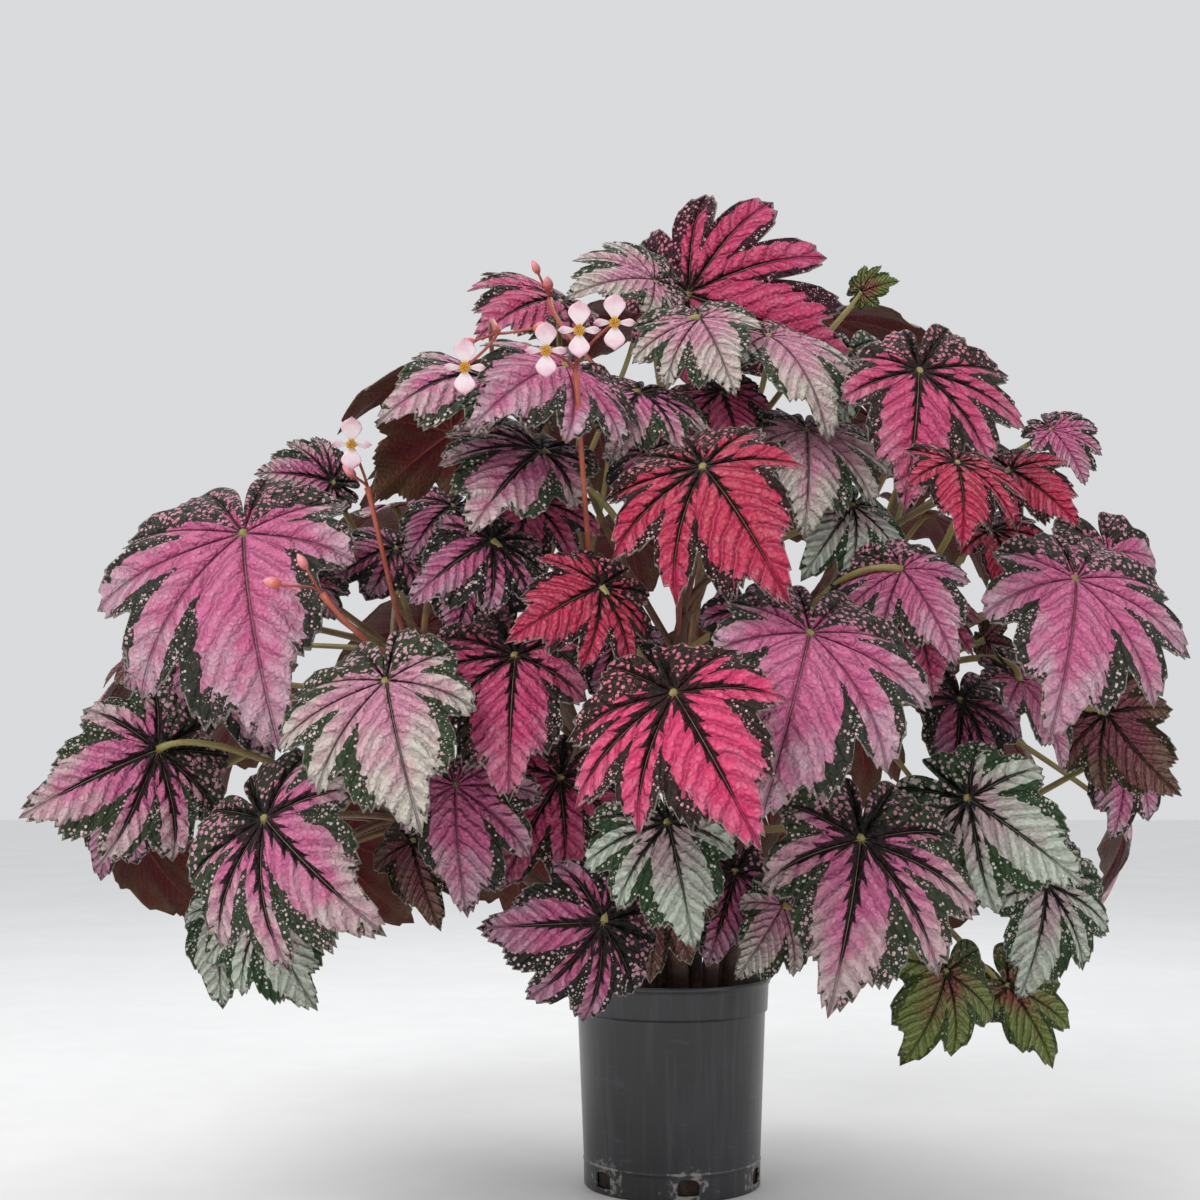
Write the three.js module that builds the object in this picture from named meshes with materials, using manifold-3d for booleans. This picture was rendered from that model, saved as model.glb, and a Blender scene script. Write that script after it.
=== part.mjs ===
// A potted rex begonia: a trade-gallon nursery pot with drain holes, its soil, eighteen leafy stems that
// each carry their petioles and lobed blades, and six flower sprays.
// Millimetres, +Z up, -Y towards the viewer. The origin is the middle of the pot's underside.
import * as THREE from "three";
import { mergeVertices } from "three/addons/utils/BufferGeometryUtils.js";
import Module from "manifold-3d";

const wasm = await Module();
wasm.setup();

// Driving dimensions of the pot
const POT_HEIGHT = 170;
const RIM_RADIUS = 84;
const COLLAR_DROP = 26;
const BODY_TOP_RADIUS = 79.5;
const BODY_FOOT_RADIUS = 74;
const WALL = 2;
const FLOOR = 3;
const POT_SIDES = 32;
const DRAIN_HOLE = { count: 6, width: 18, height: 13, sill: 5, turn: 8 };
// The collar's lip stands out from it, and a fine groove runs round the foot of the body
const LIP = { width: 3.6, drop: 3.5, step: 1.4 };
const COLLAR_SLOPE = 1.2;
const GROOVE = { height: 21, width: 1.5, depth: 0.5 };
const SOIL_DEPTH_BELOW_RIM = 22;
// The soil's top is mounded: how far it rises in the middle and falls at the edge, and the radii between
const MOUND = { rise: 3, shoulder: 30, edgeDrop: 6, edgeWidth: 14 };
const SOIL_SIDES = 18;
const GAP = 0.3;

// Driving dimensions of the plant
const BLADE_THICKNESS = 0.9;
const PETIOLE_RADIUS = 2.6;
// A petiole is this share thicker at its stem than at its blade
const PETIOLE_TAPER = 0.35;
const PETIOLE_STEPS = 3;
const STEM_FOOT_RADIUS = 7;
const STEM_HEAD_RADIUS = 4;
const STEM_SIDES = 5;
const STEM_STEPS = 5;
const STEM_ROOT = 45;
// A stem leaves the soil upright for a while, and ends at this share of the way from the plant's core to
// the middle of its leaves
const STEM_UPRIGHT = 60;
const STEM_REACH = 0.6;
const BLADE_CLEARANCE = 7;
const PETIOLE_CLEARANCE = 8;
const STEM_CLEARANCE = 3;
const POT_CLEARANCE = 8;

// The foliage follows a dome: its middle, its half axes, and how far its upper part leans to the right
const DOME = { x: -52, z: 354, wide: 510, deep: 360, up: 490, down: 270, lean: 0.22 };
// Behind, the leaves keep this far inside the dome, and by this share of it where the dome is shallow
const BACK_INSET = 70;
const BACK_DEPTH_SHARE = 0.6;
// Above its middle the dome's girth is a ball's raised to this power
const UPPER_TAPER = 1.5;
const CORE = new THREE.Vector3(-40, 0, 290);

// The reference view, from which the front leaves are placed: a level 1200 px frame, tipped up a little
const VIEW = {
  distance: 1500,
  height: 340,
  aside: -60.6,
  focal: 1732,
  middle: 600,
  tip: THREE.MathUtils.degToRad(5.8),
};
const EYE = new THREE.Vector3(VIEW.aside, -VIEW.distance, VIEW.height);

// The point that shows at pixel (px, py) of the reference view, on the upright plane that stands `forward`
// mm nearer than the pot's axis.
function seen(px, py, forward) {
  const rise = VIEW.middle - py;
  const away = VIEW.focal * Math.cos(VIEW.tip) - rise * Math.sin(VIEW.tip);
  const upward = VIEW.focal * Math.sin(VIEW.tip) + rise * Math.cos(VIEW.tip);
  const scale = (VIEW.distance - forward) / away;
  return new THREE.Vector3(VIEW.aside + (px - VIEW.middle) * scale, -forward, VIEW.height + upward * scale);
}

// How wide the dome is at a height, as a share of its widest: it narrows faster to the crown than a ball
// does.
function domeGirth(sine) {
  const cosine = Math.sqrt(Math.max(0.01, 1 - sine * sine));
  return sine > 0 ? cosine ** UPPER_TAPER : cosine;
}

// How far forward of the pot's axis the dome lies at a pixel of the reference view.
function domeForward(px, py) {
  const flat = seen(px, py, 0);
  const rise = flat.z - DOME.z;
  const aside = flat.x - DOME.x - DOME.lean * Math.max(0, rise);
  const girth = domeGirth(rise / (rise > 0 ? DOME.up : DOME.down));
  return DOME.deep * girth * Math.sqrt(Math.max(0, 1 - (aside / (DOME.wide * girth)) ** 2));
}

// A seeded draw from 0 to 1, by a linear congruential rule that both plain integers and floats hold
// exactly.
function seededDraw(seed) {
  let state = seed;
  return () => {
    state = (state * 16807) % 2147483647;
    return state / 2147483647;
  };
}

// Lobes of a blade: the angle of each main vein from the midrib, in degrees, and its length as a share of
// the midrib's. The positive side is the broad one.
const LOBES = [
  [-168, 0.46],
  [-110, 0.48],
  [-59, 0.58],
  [-19, 0.74],
  [0, 1.0],
  [21, 0.88],
  [43, 0.84],
  [78, 0.77],
  [112, 0.65],
  [157, 0.54],
];
// A back leaf, or one that lies this far inside the dome, has fewer lobes
const PLAIN_LOBES = [
  [-160, 0.44],
  [-78, 0.54],
  [-24, 0.74],
  [0, 1.0],
  [32, 0.86],
  [80, 0.76],
  [142, 0.56],
];
const PLAIN_LIFT = -40;
// How deep the notches between lobes are, how far the blade reaches at the sinus, and where its ring lies
const NOTCH_DEPTH = 0.15;
const SINUS_REACH = 0.05;
const RING_SHARE = 0.52;
// The bend of a blade's radii, in radians at the midrib's tip, and how it falls off round the blade
const DROOP = { least: 0.75, spread: 0.4 };
const BEND = { mean: 0.6, swing: 0.4 };
// The rise of the edge between two lobes, and the waves of the edge, as shares of the midrib
const EDGE_RISE = { size: 0.05, level: 0.4 };
const EDGE_WAVE = { least: 0.018, spread: 0.02 };
const QUICK_WAVE = { share: 0.7, phase: 2.3 };

// The colour of a leaf's upper face
const TONES = {
  rose: 0xc9306f,
  orchid: 0xc96a9c,
  silver: 0xb3b9ae,
  plum: 0x3b3f3b,
  rust: 0x6b2f22,
  olive: 0x7d8446,
};

// The way a leaf faces is a sum: out of the plant, straight up, and towards the viewer by each row's own
// weight
const FACE_OUTWARD = 0.6;
const FACE_UPWARD = 0.15;

// One row for each leaf that shows from the front: petiole point and tip in pixels of the reference view,
// how far the leaf lies outside the dome in mm, how much nearer than the petiole point the tip comes, the
// turn of the face about the midrib in degrees, the side that is broad, the tone, and how far it faces the
// viewer.
function leaf(at, tip, lift, dip, turn, side, tone, face = 0.9) {
  return { at, tip, lift, dip, turn, side, tone, face };
}

const FRONT_STEMS = {
  left_low: [
    leaf([128, 800], [98, 884], -70, 10, 0, 1, "plum"),
    leaf([150, 650], [102, 690], -60, 0, 40, 1, "rust"),
    leaf([265, 905], [318, 1017], -30, 10, 0, -1, "silver"),
    leaf([228, 905], [222, 1013], -50, 10, 0, 1, "silver"),
    leaf([159, 749], [13, 818], 0, 20, -10, 1, "orchid"),
    leaf([264, 818], [395, 938], 35, 25, 0, -1, "orchid"),
    leaf([412, 842], [440, 932], -45, 10, 0, 1, "olive"),
  ],
  left: [
    leaf([395, 548], [318, 590], -60, 30, 0, 1, "plum"),
    leaf([218, 610], [268, 762], -45, 30, 0, -1, "plum"),
    leaf([332, 482], [250, 474], -10, 20, 0, -1, "orchid"),
    leaf([305, 582], [262, 668], 30, 30, 0, -1, "orchid"),
    leaf([243, 532], [275, 738], 20, 40, 0, -1, "orchid", 1.7),
  ],
  left_shoulder: [
    leaf([452, 506], [402, 566], -50, 25, 0, 1, "plum"),
    leaf([492, 540], [410, 602], -20, 30, 0, 1, "silver"),
    leaf([486, 378], [388, 420], 10, 60, 0, 1, "orchid", 0.6),
    leaf([452, 432], [372, 500], 0, 40, 130, 1, "rust"),
  ],
  crown_left: [
    leaf([530, 500], [514, 597], -30, 20, 0, 1, "rose"),
    leaf([560, 300], [468, 345], -10, 50, 0, -1, "orchid"),
    leaf([565, 365], [474, 425], 10, 60, 0, 1, "orchid"),
    leaf([542, 450], [466, 542], 45, 50, 0, -1, "orchid"),
  ],
  crown: [
    leaf([655, 280], [566, 300], 0, 20, 0, -1, "silver", 0.9),
    leaf([768, 335], [824, 444], 0, 40, -20, 1, "silver"),
    leaf([700, 318], [738, 396], 20, 40, 0, -1, "silver"),
    leaf([687, 294], [850, 366], -20, 10, 0, 1, "rose", 5),
    leaf([862, 292], [902, 280], -20, 10, 0, 1, "olive", 1.5),
  ],
  crown_right: [
    leaf([850, 350], [842, 432], -40, 30, 0, 1, "silver"),
    leaf([1052, 430], [1086, 486], -30, 20, 0, 1, "orchid", 1.2),
    leaf([1010, 470], [1085, 530], -10, 30, 0, -1, "rose", 1.2),
    leaf([919, 370], [905, 510], 20, 30, 0, 1, "rose", 1.4),
    leaf([956, 462], [958, 550], 40, 30, 0, 1, "rose"),
  ],
  upper_front: [
    leaf([652, 452], [636, 540], -50, 30, 0, 1, "plum"),
    leaf([852, 505], [800, 580], -40, 20, 0, 1, "silver"),
    leaf([806, 430], [800, 545], -20, 40, 0, 1, "silver"),
    leaf([722, 392], [742, 470], -20, 30, 0, -1, "rose"),
    leaf([640, 392], [612, 470], -10, 40, 0, 1, "orchid"),
    leaf([703, 466], [794, 604], 40, 40, 0, -1, "rose", 1.2),
  ],
  right: [
    leaf([1108, 552], [1132, 672], -40, 0, 0, -1, "orchid"),
    leaf([992, 530], [1014, 620], -20, 20, 0, 1, "rose"),
    leaf([1106, 712], [1182, 800], -30, 0, 50, -1, "rust"),
    leaf([1019, 680], [1062, 775], -20, 10, -30, 1, "orchid"),
    leaf([1076, 578], [1052, 739], 30, 30, 0, 1, "orchid", 1.5),
  ],
  right_low: [
    leaf([1122, 752], [1110, 845], -40, 0, 0, 1, "rose"),
    leaf([1008, 986], [1054, 1072], -40, 0, 0, 1, "olive"),
    leaf([946, 972], [896, 1068], -60, 0, 0, 1, "olive"),
    leaf([1046, 883], [1016, 1005], -10, 0, 0, 1, "silver"),
    leaf([968, 798], [1090, 888], 30, 0, 0, -1, "silver", 1.3),
  ],
  front_right: [
    leaf([985, 640], [1018, 668], -60, 10, 60, 1, "rust"),
    leaf([960, 700], [945, 800], -60, 10, 0, 1, "plum"),
    leaf([905, 600], [930, 702], -30, 20, 0, 1, "rose"),
    leaf([902, 569], [960, 670], 20, 30, 0, -1, "orchid"),
    leaf([810, 632], [767, 818], 40, 40, 0, 1, "orchid"),
  ],
  front_low: [
    leaf([735, 872], [708, 972], -60, 10, 0, -1, "plum"),
    leaf([655, 890], [648, 985], -60, 10, 0, 1, "rust"),
    leaf([783, 905], [737, 982], -30, 10, 0, 1, "silver"),
    leaf([604, 922], [474, 932], 0, 0, 0, 1, "plum", 1.6),
    leaf([861, 839], [829, 1028], 40, 20, 0, 1, "orchid", 1.2),
    leaf([668, 822], [695, 956], 10, 10, 0, -1, "silver"),
  ],
  front: [
    leaf([745, 610], [750, 700], -50, 20, 0, 1, "silver"),
    leaf([480, 572], [452, 660], -50, 20, 0, 1, "plum"),
    leaf([560, 778], [500, 896], -50, 10, 0, 1, "rose"),
    leaf([620, 640], [640, 720], -60, 20, 0, -1, "plum"),
    leaf([515, 655], [509, 810], -10, 30, 0, -1, "rose"),
    leaf([455, 785], [470, 918], -20, 10, 0, 1, "orchid"),
    leaf([386, 680], [420, 845], 50, 40, 0, -1, "silver"),
    leaf([601, 586], [497, 645], 30, 30, 0, 1, "rose"),
    leaf([674, 692], [769, 856], 60, 40, 0, -1, "rose", 1.2),
  ],
};

// One row for each flower spray: the stem that bears it, where it forks and how far outside the dome, then
// its open flowers and its buds, in pixels of the reference view.
function sprayRow(stem, fork, lift, flowers, buds) {
  return { stem, fork, lift, flowers, buds };
}

const SPRAYS = [
  sprayRow("crown_left", [576, 374], 70, [[548, 352], [612, 326], [579, 333]], []),
  sprayRow("left_shoulder", [497, 332], 190, [[466, 366]], [[468, 343], [540, 328]]),
  sprayRow("crown", [550, 300], 0, [], [[536, 268], [548, 284]]),
  sprayRow("upper_front", [678, 476], 60, [], [[684, 494], [675, 514], [690, 514], [685, 538]]),
  sprayRow("left", [368, 488], 20, [[352, 446]], [[350, 472]]),
  sprayRow("left", [322, 594], 20, [], [[303, 563], [274, 583]]),
];
// How far nearer than the fork the first flower stands, each further flower, and the buds
const FLOWER_STAND = 26;
const FLOWER_STEP = 12;
const BUD_STAND = 8;
const STALK_RADIUS = 1.8;
const STALK_STEPS = 5;
const PEDICEL_RADIUS = 1.1;
const PETAL_THICKNESS = 0.8;
const BUD_LENGTH = 13;
const BUD_RADIUS = 4;
// Petals of one flower: the turn about its middle and half the angle that each takes up, in degrees, and
// its length. A petal's corners are rounded off by a share of that length.
const PETALS = [
  { turn: 0, half: 17, length: 14 },
  { turn: 90, half: 38, length: 19 },
  { turn: 180, half: 17, length: 14 },
  { turn: 270, half: 38, length: 18 },
];
const PETAL_CUP = 3;
const PETAL_ROUNDING = 0.15;
const FLOWER_THROAT = 4;
const STAMENS = { foot: -0.3, middle: 2.5, top: 5, radius: 3, topRadius: 1.2 };

// The stems behind carry leaves in tiers: height of the tier on the dome and turn from the stem's own
// bearing, in degrees, how far inside or outside the dome, and the midrib's length.
const BACK_BEARINGS = [92, 126, 160, 200, 234, 268];
const BACK_TIERS = [
  { height: 8, turn: 14, lift: -70, length: 105 },
  { height: 42, turn: -12, lift: -60, length: 105 },
  { height: -22, turn: -8, lift: -25, length: 125 },
  { height: 18, turn: 10, lift: -12, length: 140 },
  { height: 50, turn: 6, lift: -15, length: 130 },
];
// Every other stem behind also carries a leaf near the crown
const CROWN_TIER = { height: 70, turn: 0, lift: 0, length: 130 };
const BACK_TONES = ["plum", "silver", "orchid", "rose", "orchid", "silver", "rose"];
const BACK_SEED = 4021;
// What chance adds to a back leaf: its place in degrees, its tip's way aside in mm, its length as a share,
// its turn
const CHANCE = { place: 10, aside: 70, length: 0.2, turn: 16 };
// Its tip hangs towards a point this many radians lower on the dome and this many mm further out
const HANG = { angle: 0.3, lift: 22 };

// Where the stems stand in the soil: an inner and an outer ring
const STEM_RINGS = [
  { count: 6, radius: 22 },
  { count: 12, radius: 50 },
];

// How a petiole or stalk is routed: where it may leave its stem, how far it may bow in mm and in how many
// ways, and what a point near a leaf of its own stem and a mm of length cost where a point near anything
// else costs 1
const LEAVING_SHARES = [1, 0.85, 0.7, 0.55, 0.4, 0.25];
const BOW_SIZES = [0, 25, 50, 75, 100, 130];
const BOW_WAYS = 8;
const OWN_LEAF_COST = 0.3;
const DETOUR_COST = 0.003;
// It leaves the stem upwards and comes in to the blade from behind, by these shares of its span and of the
// blade
const LEAVE_SHARE = 0.3;
const ARRIVE_BEHIND = 0.3;
const ARRIVE_ASIDE = 0.22;
const STALK_ARRIVE = 25;

const degrees = THREE.MathUtils.degToRad;

// A blade's frame from its petiole point, the straight line to its tip and the way that it faces: the
// midrib is an arc, so its start is turned up from that line by half the droop.
function bladeFrame(at, tip, facing, turn, droop) {
  const line = tip.clone().sub(at);
  const length = line.length();
  line.normalize();
  const face = facing.clone().addScaledVector(line, -facing.dot(line)).normalize();
  face.applyAxisAngle(line, degrees(turn));
  const half = droop / 2;
  const along = line.clone().multiplyScalar(Math.cos(half)).addScaledVector(face, Math.sin(half));
  const normal = face.clone().multiplyScalar(Math.cos(half)).addScaledVector(line, -Math.sin(half));
  return { at, along, normal, across: normal.clone().cross(along), size: (length * half) / Math.sin(half) };
}

// The angle and length of each lobe of one blade, in order of angle.
function lobesOf(blade) {
  const rows = blade.plain ? PLAIN_LOBES : LOBES;
  const lobes = rows.map(([angle, share]) => [degrees(angle) * blade.side, share]);
  return blade.side < 0 ? lobes.reverse() : lobes;
}

// A point of the blade in its own frame, in mm. Each radius of the blade bends down as an arc whose
// curvature is greatest at the midrib and least at the sinus; the edge rises between the lobes and waves
// twice and three times round the blade.
function bladePoint(blade, angle, reach, edge, between) {
  const bend = blade.droop * (BEND.mean + BEND.swing * Math.cos(angle));
  const turned = bend * reach;
  const out = Math.sin(turned) / bend;
  const quick = QUICK_WAVE.share * Math.sin(3 * angle + QUICK_WAVE.phase * blade.phase);
  const sway = blade.wave * (Math.sin(2 * angle + blade.phase) + quick);
  const lift = EDGE_RISE.size * (between - EDGE_RISE.level) + sway;
  const height = -(1 - Math.cos(turned)) / bend + edge * edge * lift;
  const { size } = blade.frame;
  return new THREE.Vector3(out * Math.cos(angle), out * Math.sin(angle), height).multiplyScalar(size);
}

// A point of the blade in the plant's frame.
function placed(blade, local) {
  const { at, along, across, normal } = blade.frame;
  const flat = at.clone().addScaledVector(along, local.x).addScaledVector(across, local.y);
  return flat.addScaledVector(normal, local.z);
}

// The flat outline of a blade: its middle, a ring across the veins where the blade has one, the sinus,
// then the tips and notches in turn. The faces are a fan round the middle and a strip outside the ring.
function bladePlan(blade) {
  const lobes = lobesOf(blade);
  const plan = [{ angle: 0, reach: 0, edge: 0, between: 0 }];
  const ring = [];
  if (!blade.plain) {
    for (const [angle, share] of lobes) {
      ring.push(plan.length);
      plan.push({ angle, reach: share * RING_SHARE, edge: RING_SHARE, between: 0 });
    }
  }
  const sinus = plan.length;
  plan.push({ angle: Math.PI, reach: SINUS_REACH, edge: 0, between: 0 });
  const outline = [];
  lobes.forEach(([angle, share], i) => {
    outline.push(plan.length);
    plan.push({ angle, reach: share, edge: 1, between: 0 });
    if (i + 1 < lobes.length) {
      const notch = ((share + lobes[i + 1][1]) / 2) * (1 - NOTCH_DEPTH);
      outline.push(plan.length);
      plan.push({ angle: (angle + lobes[i + 1][0]) / 2, reach: notch, edge: 1, between: 1 });
    }
  });
  const strip = [];
  for (let i = 0; i + 1 < ring.length; i++) {
    const [tip, notch, nextTip] = outline.slice(2 * i, 2 * i + 3);
    strip.push([ring[i], tip, notch], [ring[i], notch, ring[i + 1]], [ring[i + 1], notch, nextTip]);
  }
  const loop = [...(blade.plain ? outline : ring), sinus];
  const fan = loop.map((a, i) => [0, a, loop[(i + 1) % loop.length]]);
  const rim = blade.plain ? [sinus, ...outline] : [sinus, ring[0], ...outline, ring.at(-1)];
  return { plan, loop, fan, strip, rim };
}

// A blade's middle surface as it stands now, with a ball round it, for keeping it clear of its neighbours.
function measureBlade(blade) {
  const { plan, fan, strip } = blade.outline;
  const middle = plan.map((p) => placed(blade, bladePoint(blade, p.angle, p.reach, p.edge, p.between)));
  blade.middle = middle;
  const faces = [...fan, ...strip];
  blade.triangles = faces.map(([a, b, c]) => new THREE.Triangle(middle[a], middle[b], middle[c]));
  const centres = blade.triangles.map((t) => t.getMidpoint(new THREE.Vector3()));
  const edges = blade.triangles.flatMap(({ a, b, c }) => [[a, b], [b, c], [c, a]]);
  const thirds = edges.flatMap(([p, q]) => [p.clone().lerp(q, 0.33), p.clone().lerp(q, 0.67)]);
  blade.points = [...middle, ...centres, ...thirds];
  blade.ball = new THREE.Box3().setFromPoints(middle).getBoundingSphere(new THREE.Sphere());
}

// How many of some points lie nearer than `clear` to a blade.
function countOnBlade(points, blade, clear) {
  const closest = new THREE.Vector3();
  const far = (blade.ball.radius + clear) ** 2;
  const limit = clear * clear;
  const near = (p) => p.distanceToSquared(blade.ball.center) < far;
  const gap = (triangle, p) => triangle.closestPointToPoint(p, closest).distanceToSquared(p);
  const touches = (p) => blade.triangles.some((triangle) => gap(triangle, p) < limit);
  return points.filter((p) => near(p) && touches(p)).length;
}

// Whether two blades come nearer to each other than `clear`.
function bladesMeet(a, b, clear) {
  if (a.ball.center.distanceTo(b.ball.center) > a.ball.radius + b.ball.radius + clear) return false;
  return countOnBlade(a.points, b, clear) > 0 || countOnBlade(b.points, a, clear) > 0;
}

// How many points of one path are nearer than `clear` to the points of any of several other paths.
function countOnPaths(points, paths, clear) {
  const limit = clear * clear;
  return points.filter((p) => paths.some((path) => path.some((q) => p.distanceToSquared(q) < limit))).length;
}

// The way a leaf faces: out of the plant, a little up, and towards the viewer where it is placed from the
// view.
function facingOf(at, towardsEye) {
  const facing = at.clone().sub(CORE).setLength(FACE_OUTWARD);
  facing.addScaledVector(EYE.clone().sub(at).normalize(), towardsEye);
  return facing.add(new THREE.Vector3(0, 0, FACE_UPWARD)).normalize();
}

// A front leaf from its row.
function frontLeaf(row, draw) {
  const forward = domeForward(...row.at) + row.lift;
  const at = seen(...row.at, forward);
  const tip = seen(...row.tip, forward + row.dip);
  return finishLeaf(row, true, at, tip, facingOf(at, row.face), row.turn, draw);
}

// A back leaf from its tier: the tip hangs down the dome's meridian from the petiole point.
function backLeaf(tier, bearing, tone, draw) {
  const azimuth = degrees(bearing + tier.turn + CHANCE.place * (draw() - 0.5));
  const height = degrees(tier.height + CHANCE.place * (draw() - 0.5));
  const point = (h, lift) => {
    const inset = lift - BACK_INSET;
    const rise = ((h > 0 ? DOME.up : DOME.down) + inset) * Math.sin(h);
    const girth = domeGirth(Math.sin(h));
    const aside = (DOME.wide + inset) * girth * Math.sin(azimuth);
    const forward = (DOME.deep + BACK_DEPTH_SHARE * inset) * girth * Math.cos(azimuth);
    return new THREE.Vector3(DOME.x + DOME.lean * Math.max(0, rise) + aside, -forward, DOME.z + rise);
  };
  const at = point(height, tier.lift);
  const below = point(height - HANG.angle, tier.lift + HANG.lift);
  const sideways = new THREE.Vector3(Math.cos(azimuth), Math.sin(azimuth), 0);
  below.addScaledVector(sideways, CHANCE.aside * (draw() - 0.5));
  const line = below.sub(at).setLength(tier.length * (1 + CHANCE.length * (draw() - 0.5)));
  const row = { side: draw() < 0.5 ? -1 : 1, tone, lift: tier.lift };
  const turn = CHANCE.turn * (draw() - 0.5);
  return finishLeaf(row, false, at, at.clone().add(line), facingOf(at, 0), turn, draw);
}

// What front and back leaves share: the droop and waves that chance gives each, its frame and its outline.
function finishLeaf(row, front, at, tip, facing, turn, draw) {
  const { side, tone, lift } = row;
  const droop = DROOP.least + DROOP.spread * draw();
  const wave = EDGE_WAVE.least + EDGE_WAVE.spread * draw();
  const blade = { side, tone, lift, front, droop, wave, phase: 2 * Math.PI * draw() };
  blade.plain = !front || lift <= PLAIN_LIFT;
  blade.frame = bladeFrame(at, tip, facing, turn, droop);
  blade.outline = bladePlan(blade);
  return blade;
}

// A stem's path: straight up out of the soil from its foot, then over towards the middle of its leaves.
function stemCurve(foot, middle) {
  const soil = POT_HEIGHT - SOIL_DEPTH_BELOW_RIM;
  const head = CORE.clone().lerp(middle, STEM_REACH);
  const mouth = new THREE.Vector3(foot.x, foot.y, soil + POT_CLEARANCE);
  const early = mouth.clone().setZ(mouth.z + STEM_UPRIGHT);
  return new THREE.CubicBezierCurve3(mouth, early, head.clone().lerp(CORE, 0.3), head);
}

// A petiole's path, from its stem to the blade: it leaves the stem upwards and comes in to the blade from
// behind and from the side of the sinus. `bow` bends it clear of other leaves.
function petioleCurve(stem, share, blade, bow) {
  const { at, along, normal, size } = blade.frame;
  const root = stem.getPoint(share);
  const span = root.distanceTo(at);
  const early = root.clone().addScaledVector(stem.getTangent(share), LEAVE_SHARE * span);
  const late = at.clone().addScaledVector(along, -ARRIVE_ASIDE * size);
  late.addScaledVector(normal, -ARRIVE_BEHIND * size).add(bow);
  return new THREE.CubicBezierCurve3(root, early.addScaledVector(bow, 0.5), late, at.clone());
}

// Lays every leaf in turn, the inmost first, just clear of those already laid. A front leaf moves towards
// the viewer, so that it keeps its place in the reference view, and a back leaf straight out of the plant.
function layLeaves(stems) {
  const STEP = 4;
  const MOST_STEPS = 45;
  const order = stems.flatMap((stem) => stem.leaves);
  order.sort((a, b) => a.lift - b.lift);
  const woods = stems.map((stem) => alongRuns(stem.curve.getPoints(STEM_STEPS)));
  const laid = [];
  for (const blade of order) {
    const { at } = blade.frame;
    const way = (blade.front ? EYE.clone().sub(at) : at.clone().sub(CORE)).normalize();
    measureBlade(blade);
    const blocked = () =>
      laid.some((other) => bladesMeet(blade, other, BLADE_CLEARANCE)) ||
      woods.some((wood) => countOnBlade(wood, blade, 2 * STEM_HEAD_RADIUS) > 0);
    for (let step = 0; step < MOST_STEPS && blocked(); step++) {
      at.addScaledVector(way, STEP);
      measureBlade(blade);
    }
    laid.push(blade);
  }
  return laid;
}

// Points spread evenly along the straight runs that a stem or stalk is built from.
function alongRuns(corners) {
  const SPACING = 8;
  const points = [];
  for (let i = 0; i + 1 < corners.length; i++) {
    const parts = Math.ceil(corners[i].distanceTo(corners[i + 1]) / SPACING);
    for (let k = 0; k < parts; k++) points.push(corners[i].clone().lerp(corners[i + 1], k / parts));
  }
  return points;
}

// How many points of a path come near the pot, or the soil in it.
function countInPot(points) {
  const across = (p) => Math.hypot(p.x, p.y);
  const overSoil = (p) => across(p) < RIM_RADIUS - 2 * POT_CLEARANCE;
  const limit = (p) => POT_HEIGHT + POT_CLEARANCE - (overSoil(p) ? SOIL_DEPTH_BELOW_RIM : 0);
  return points.filter((p) => p.z < limit(p) && across(p) < RIM_RADIUS + POT_CLEARANCE).length;
}

// Routes every petiole through the gaps between the leaves. Each takes, of a few places to leave its stem
// and a few bows, the route that comes near the fewest neighbours. In the later rounds those that still
// come near anything look again round all the others.
function routePetioles(stems, laid) {
  const ROUNDS = 3;
  const links = stems.flatMap((stem) => stem.leaves.map((blade) => ({ stem, blade, path: [], touches: 1 })));
  const woods = new Map(stems.map((stem) => [stem, alongRuns(stem.curve.getPoints(STEM_STEPS))]));
  for (let round = 0; round < ROUNDS; round++) {
    for (const link of links) {
      if (round && !link.touches) continue;
      const { stem, blade } = link;
      const otherWoods = stems.filter((s) => s !== stem).map((s) => woods.get(s));
      const otherPaths = links.filter((other) => other !== link).map((other) => other.path);
      const own = stem.leaves.filter((other) => other !== blade);
      const foreign = laid.filter((other) => !stem.leaves.includes(other));
      let best = null;
      for (const share of LEAVING_SHARES) {
        for (const size of BOW_SIZES) {
          for (const bow of bowsOf(blade.frame, size)) {
            const route = { curve: petioleCurve(stem.curve, share, blade, bow), steps: PETIOLE_STEPS, size };
            best = betterRoute(best, route, own, foreign, otherPaths, otherWoods);
          }
        }
      }
      blade.petiole = best.curve;
      link.path = best.path;
      link.touches = best.touches;
    }
  }
  return links.map((link) => link.path);
}

// Sideways bows of one size, in even turns round a frame's long axis.
function bowsOf({ across, along }, size) {
  const ways = size ? BOW_WAYS : 1;
  return Array.from({ length: ways }, (_, k) =>
    across.clone().applyAxisAngle(along, (2 * Math.PI * k) / ways).multiplyScalar(size),
  );
}

// The better of the best route so far and a new one: what it comes near of other stems counts first, then
// the leaves of its own stem, then its length and bow.
function betterRoute(best, { curve, steps, size }, own, foreign, paths, woods) {
  const detour = DETOUR_COST * (curve.getLength() + size);
  if (best && detour > best.cost) return best;
  const root = curve.getPoint(0);
  const path = alongRuns(curve.getPoints(steps)).filter((p) => p.distanceTo(root) > 2 * STEM_FOOT_RADIUS);
  const countOne = (blade) => countOnBlade(path, blade, PETIOLE_CLEARANCE);
  const countOn = (blades) => blades.reduce((sum, blade) => sum + countOne(blade), 0);
  const touches =
    countOn(foreign) +
    countOnPaths(path, paths, PETIOLE_CLEARANCE) +
    countOnPaths(path, woods, PETIOLE_RADIUS + STEM_FOOT_RADIUS + STEM_CLEARANCE) +
    countInPot(path);
  const cost = touches + OWN_LEAF_COST * countOn(own) + detour;
  return best && best.cost <= cost ? best : { cost, curve, path, touches };
}

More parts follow.
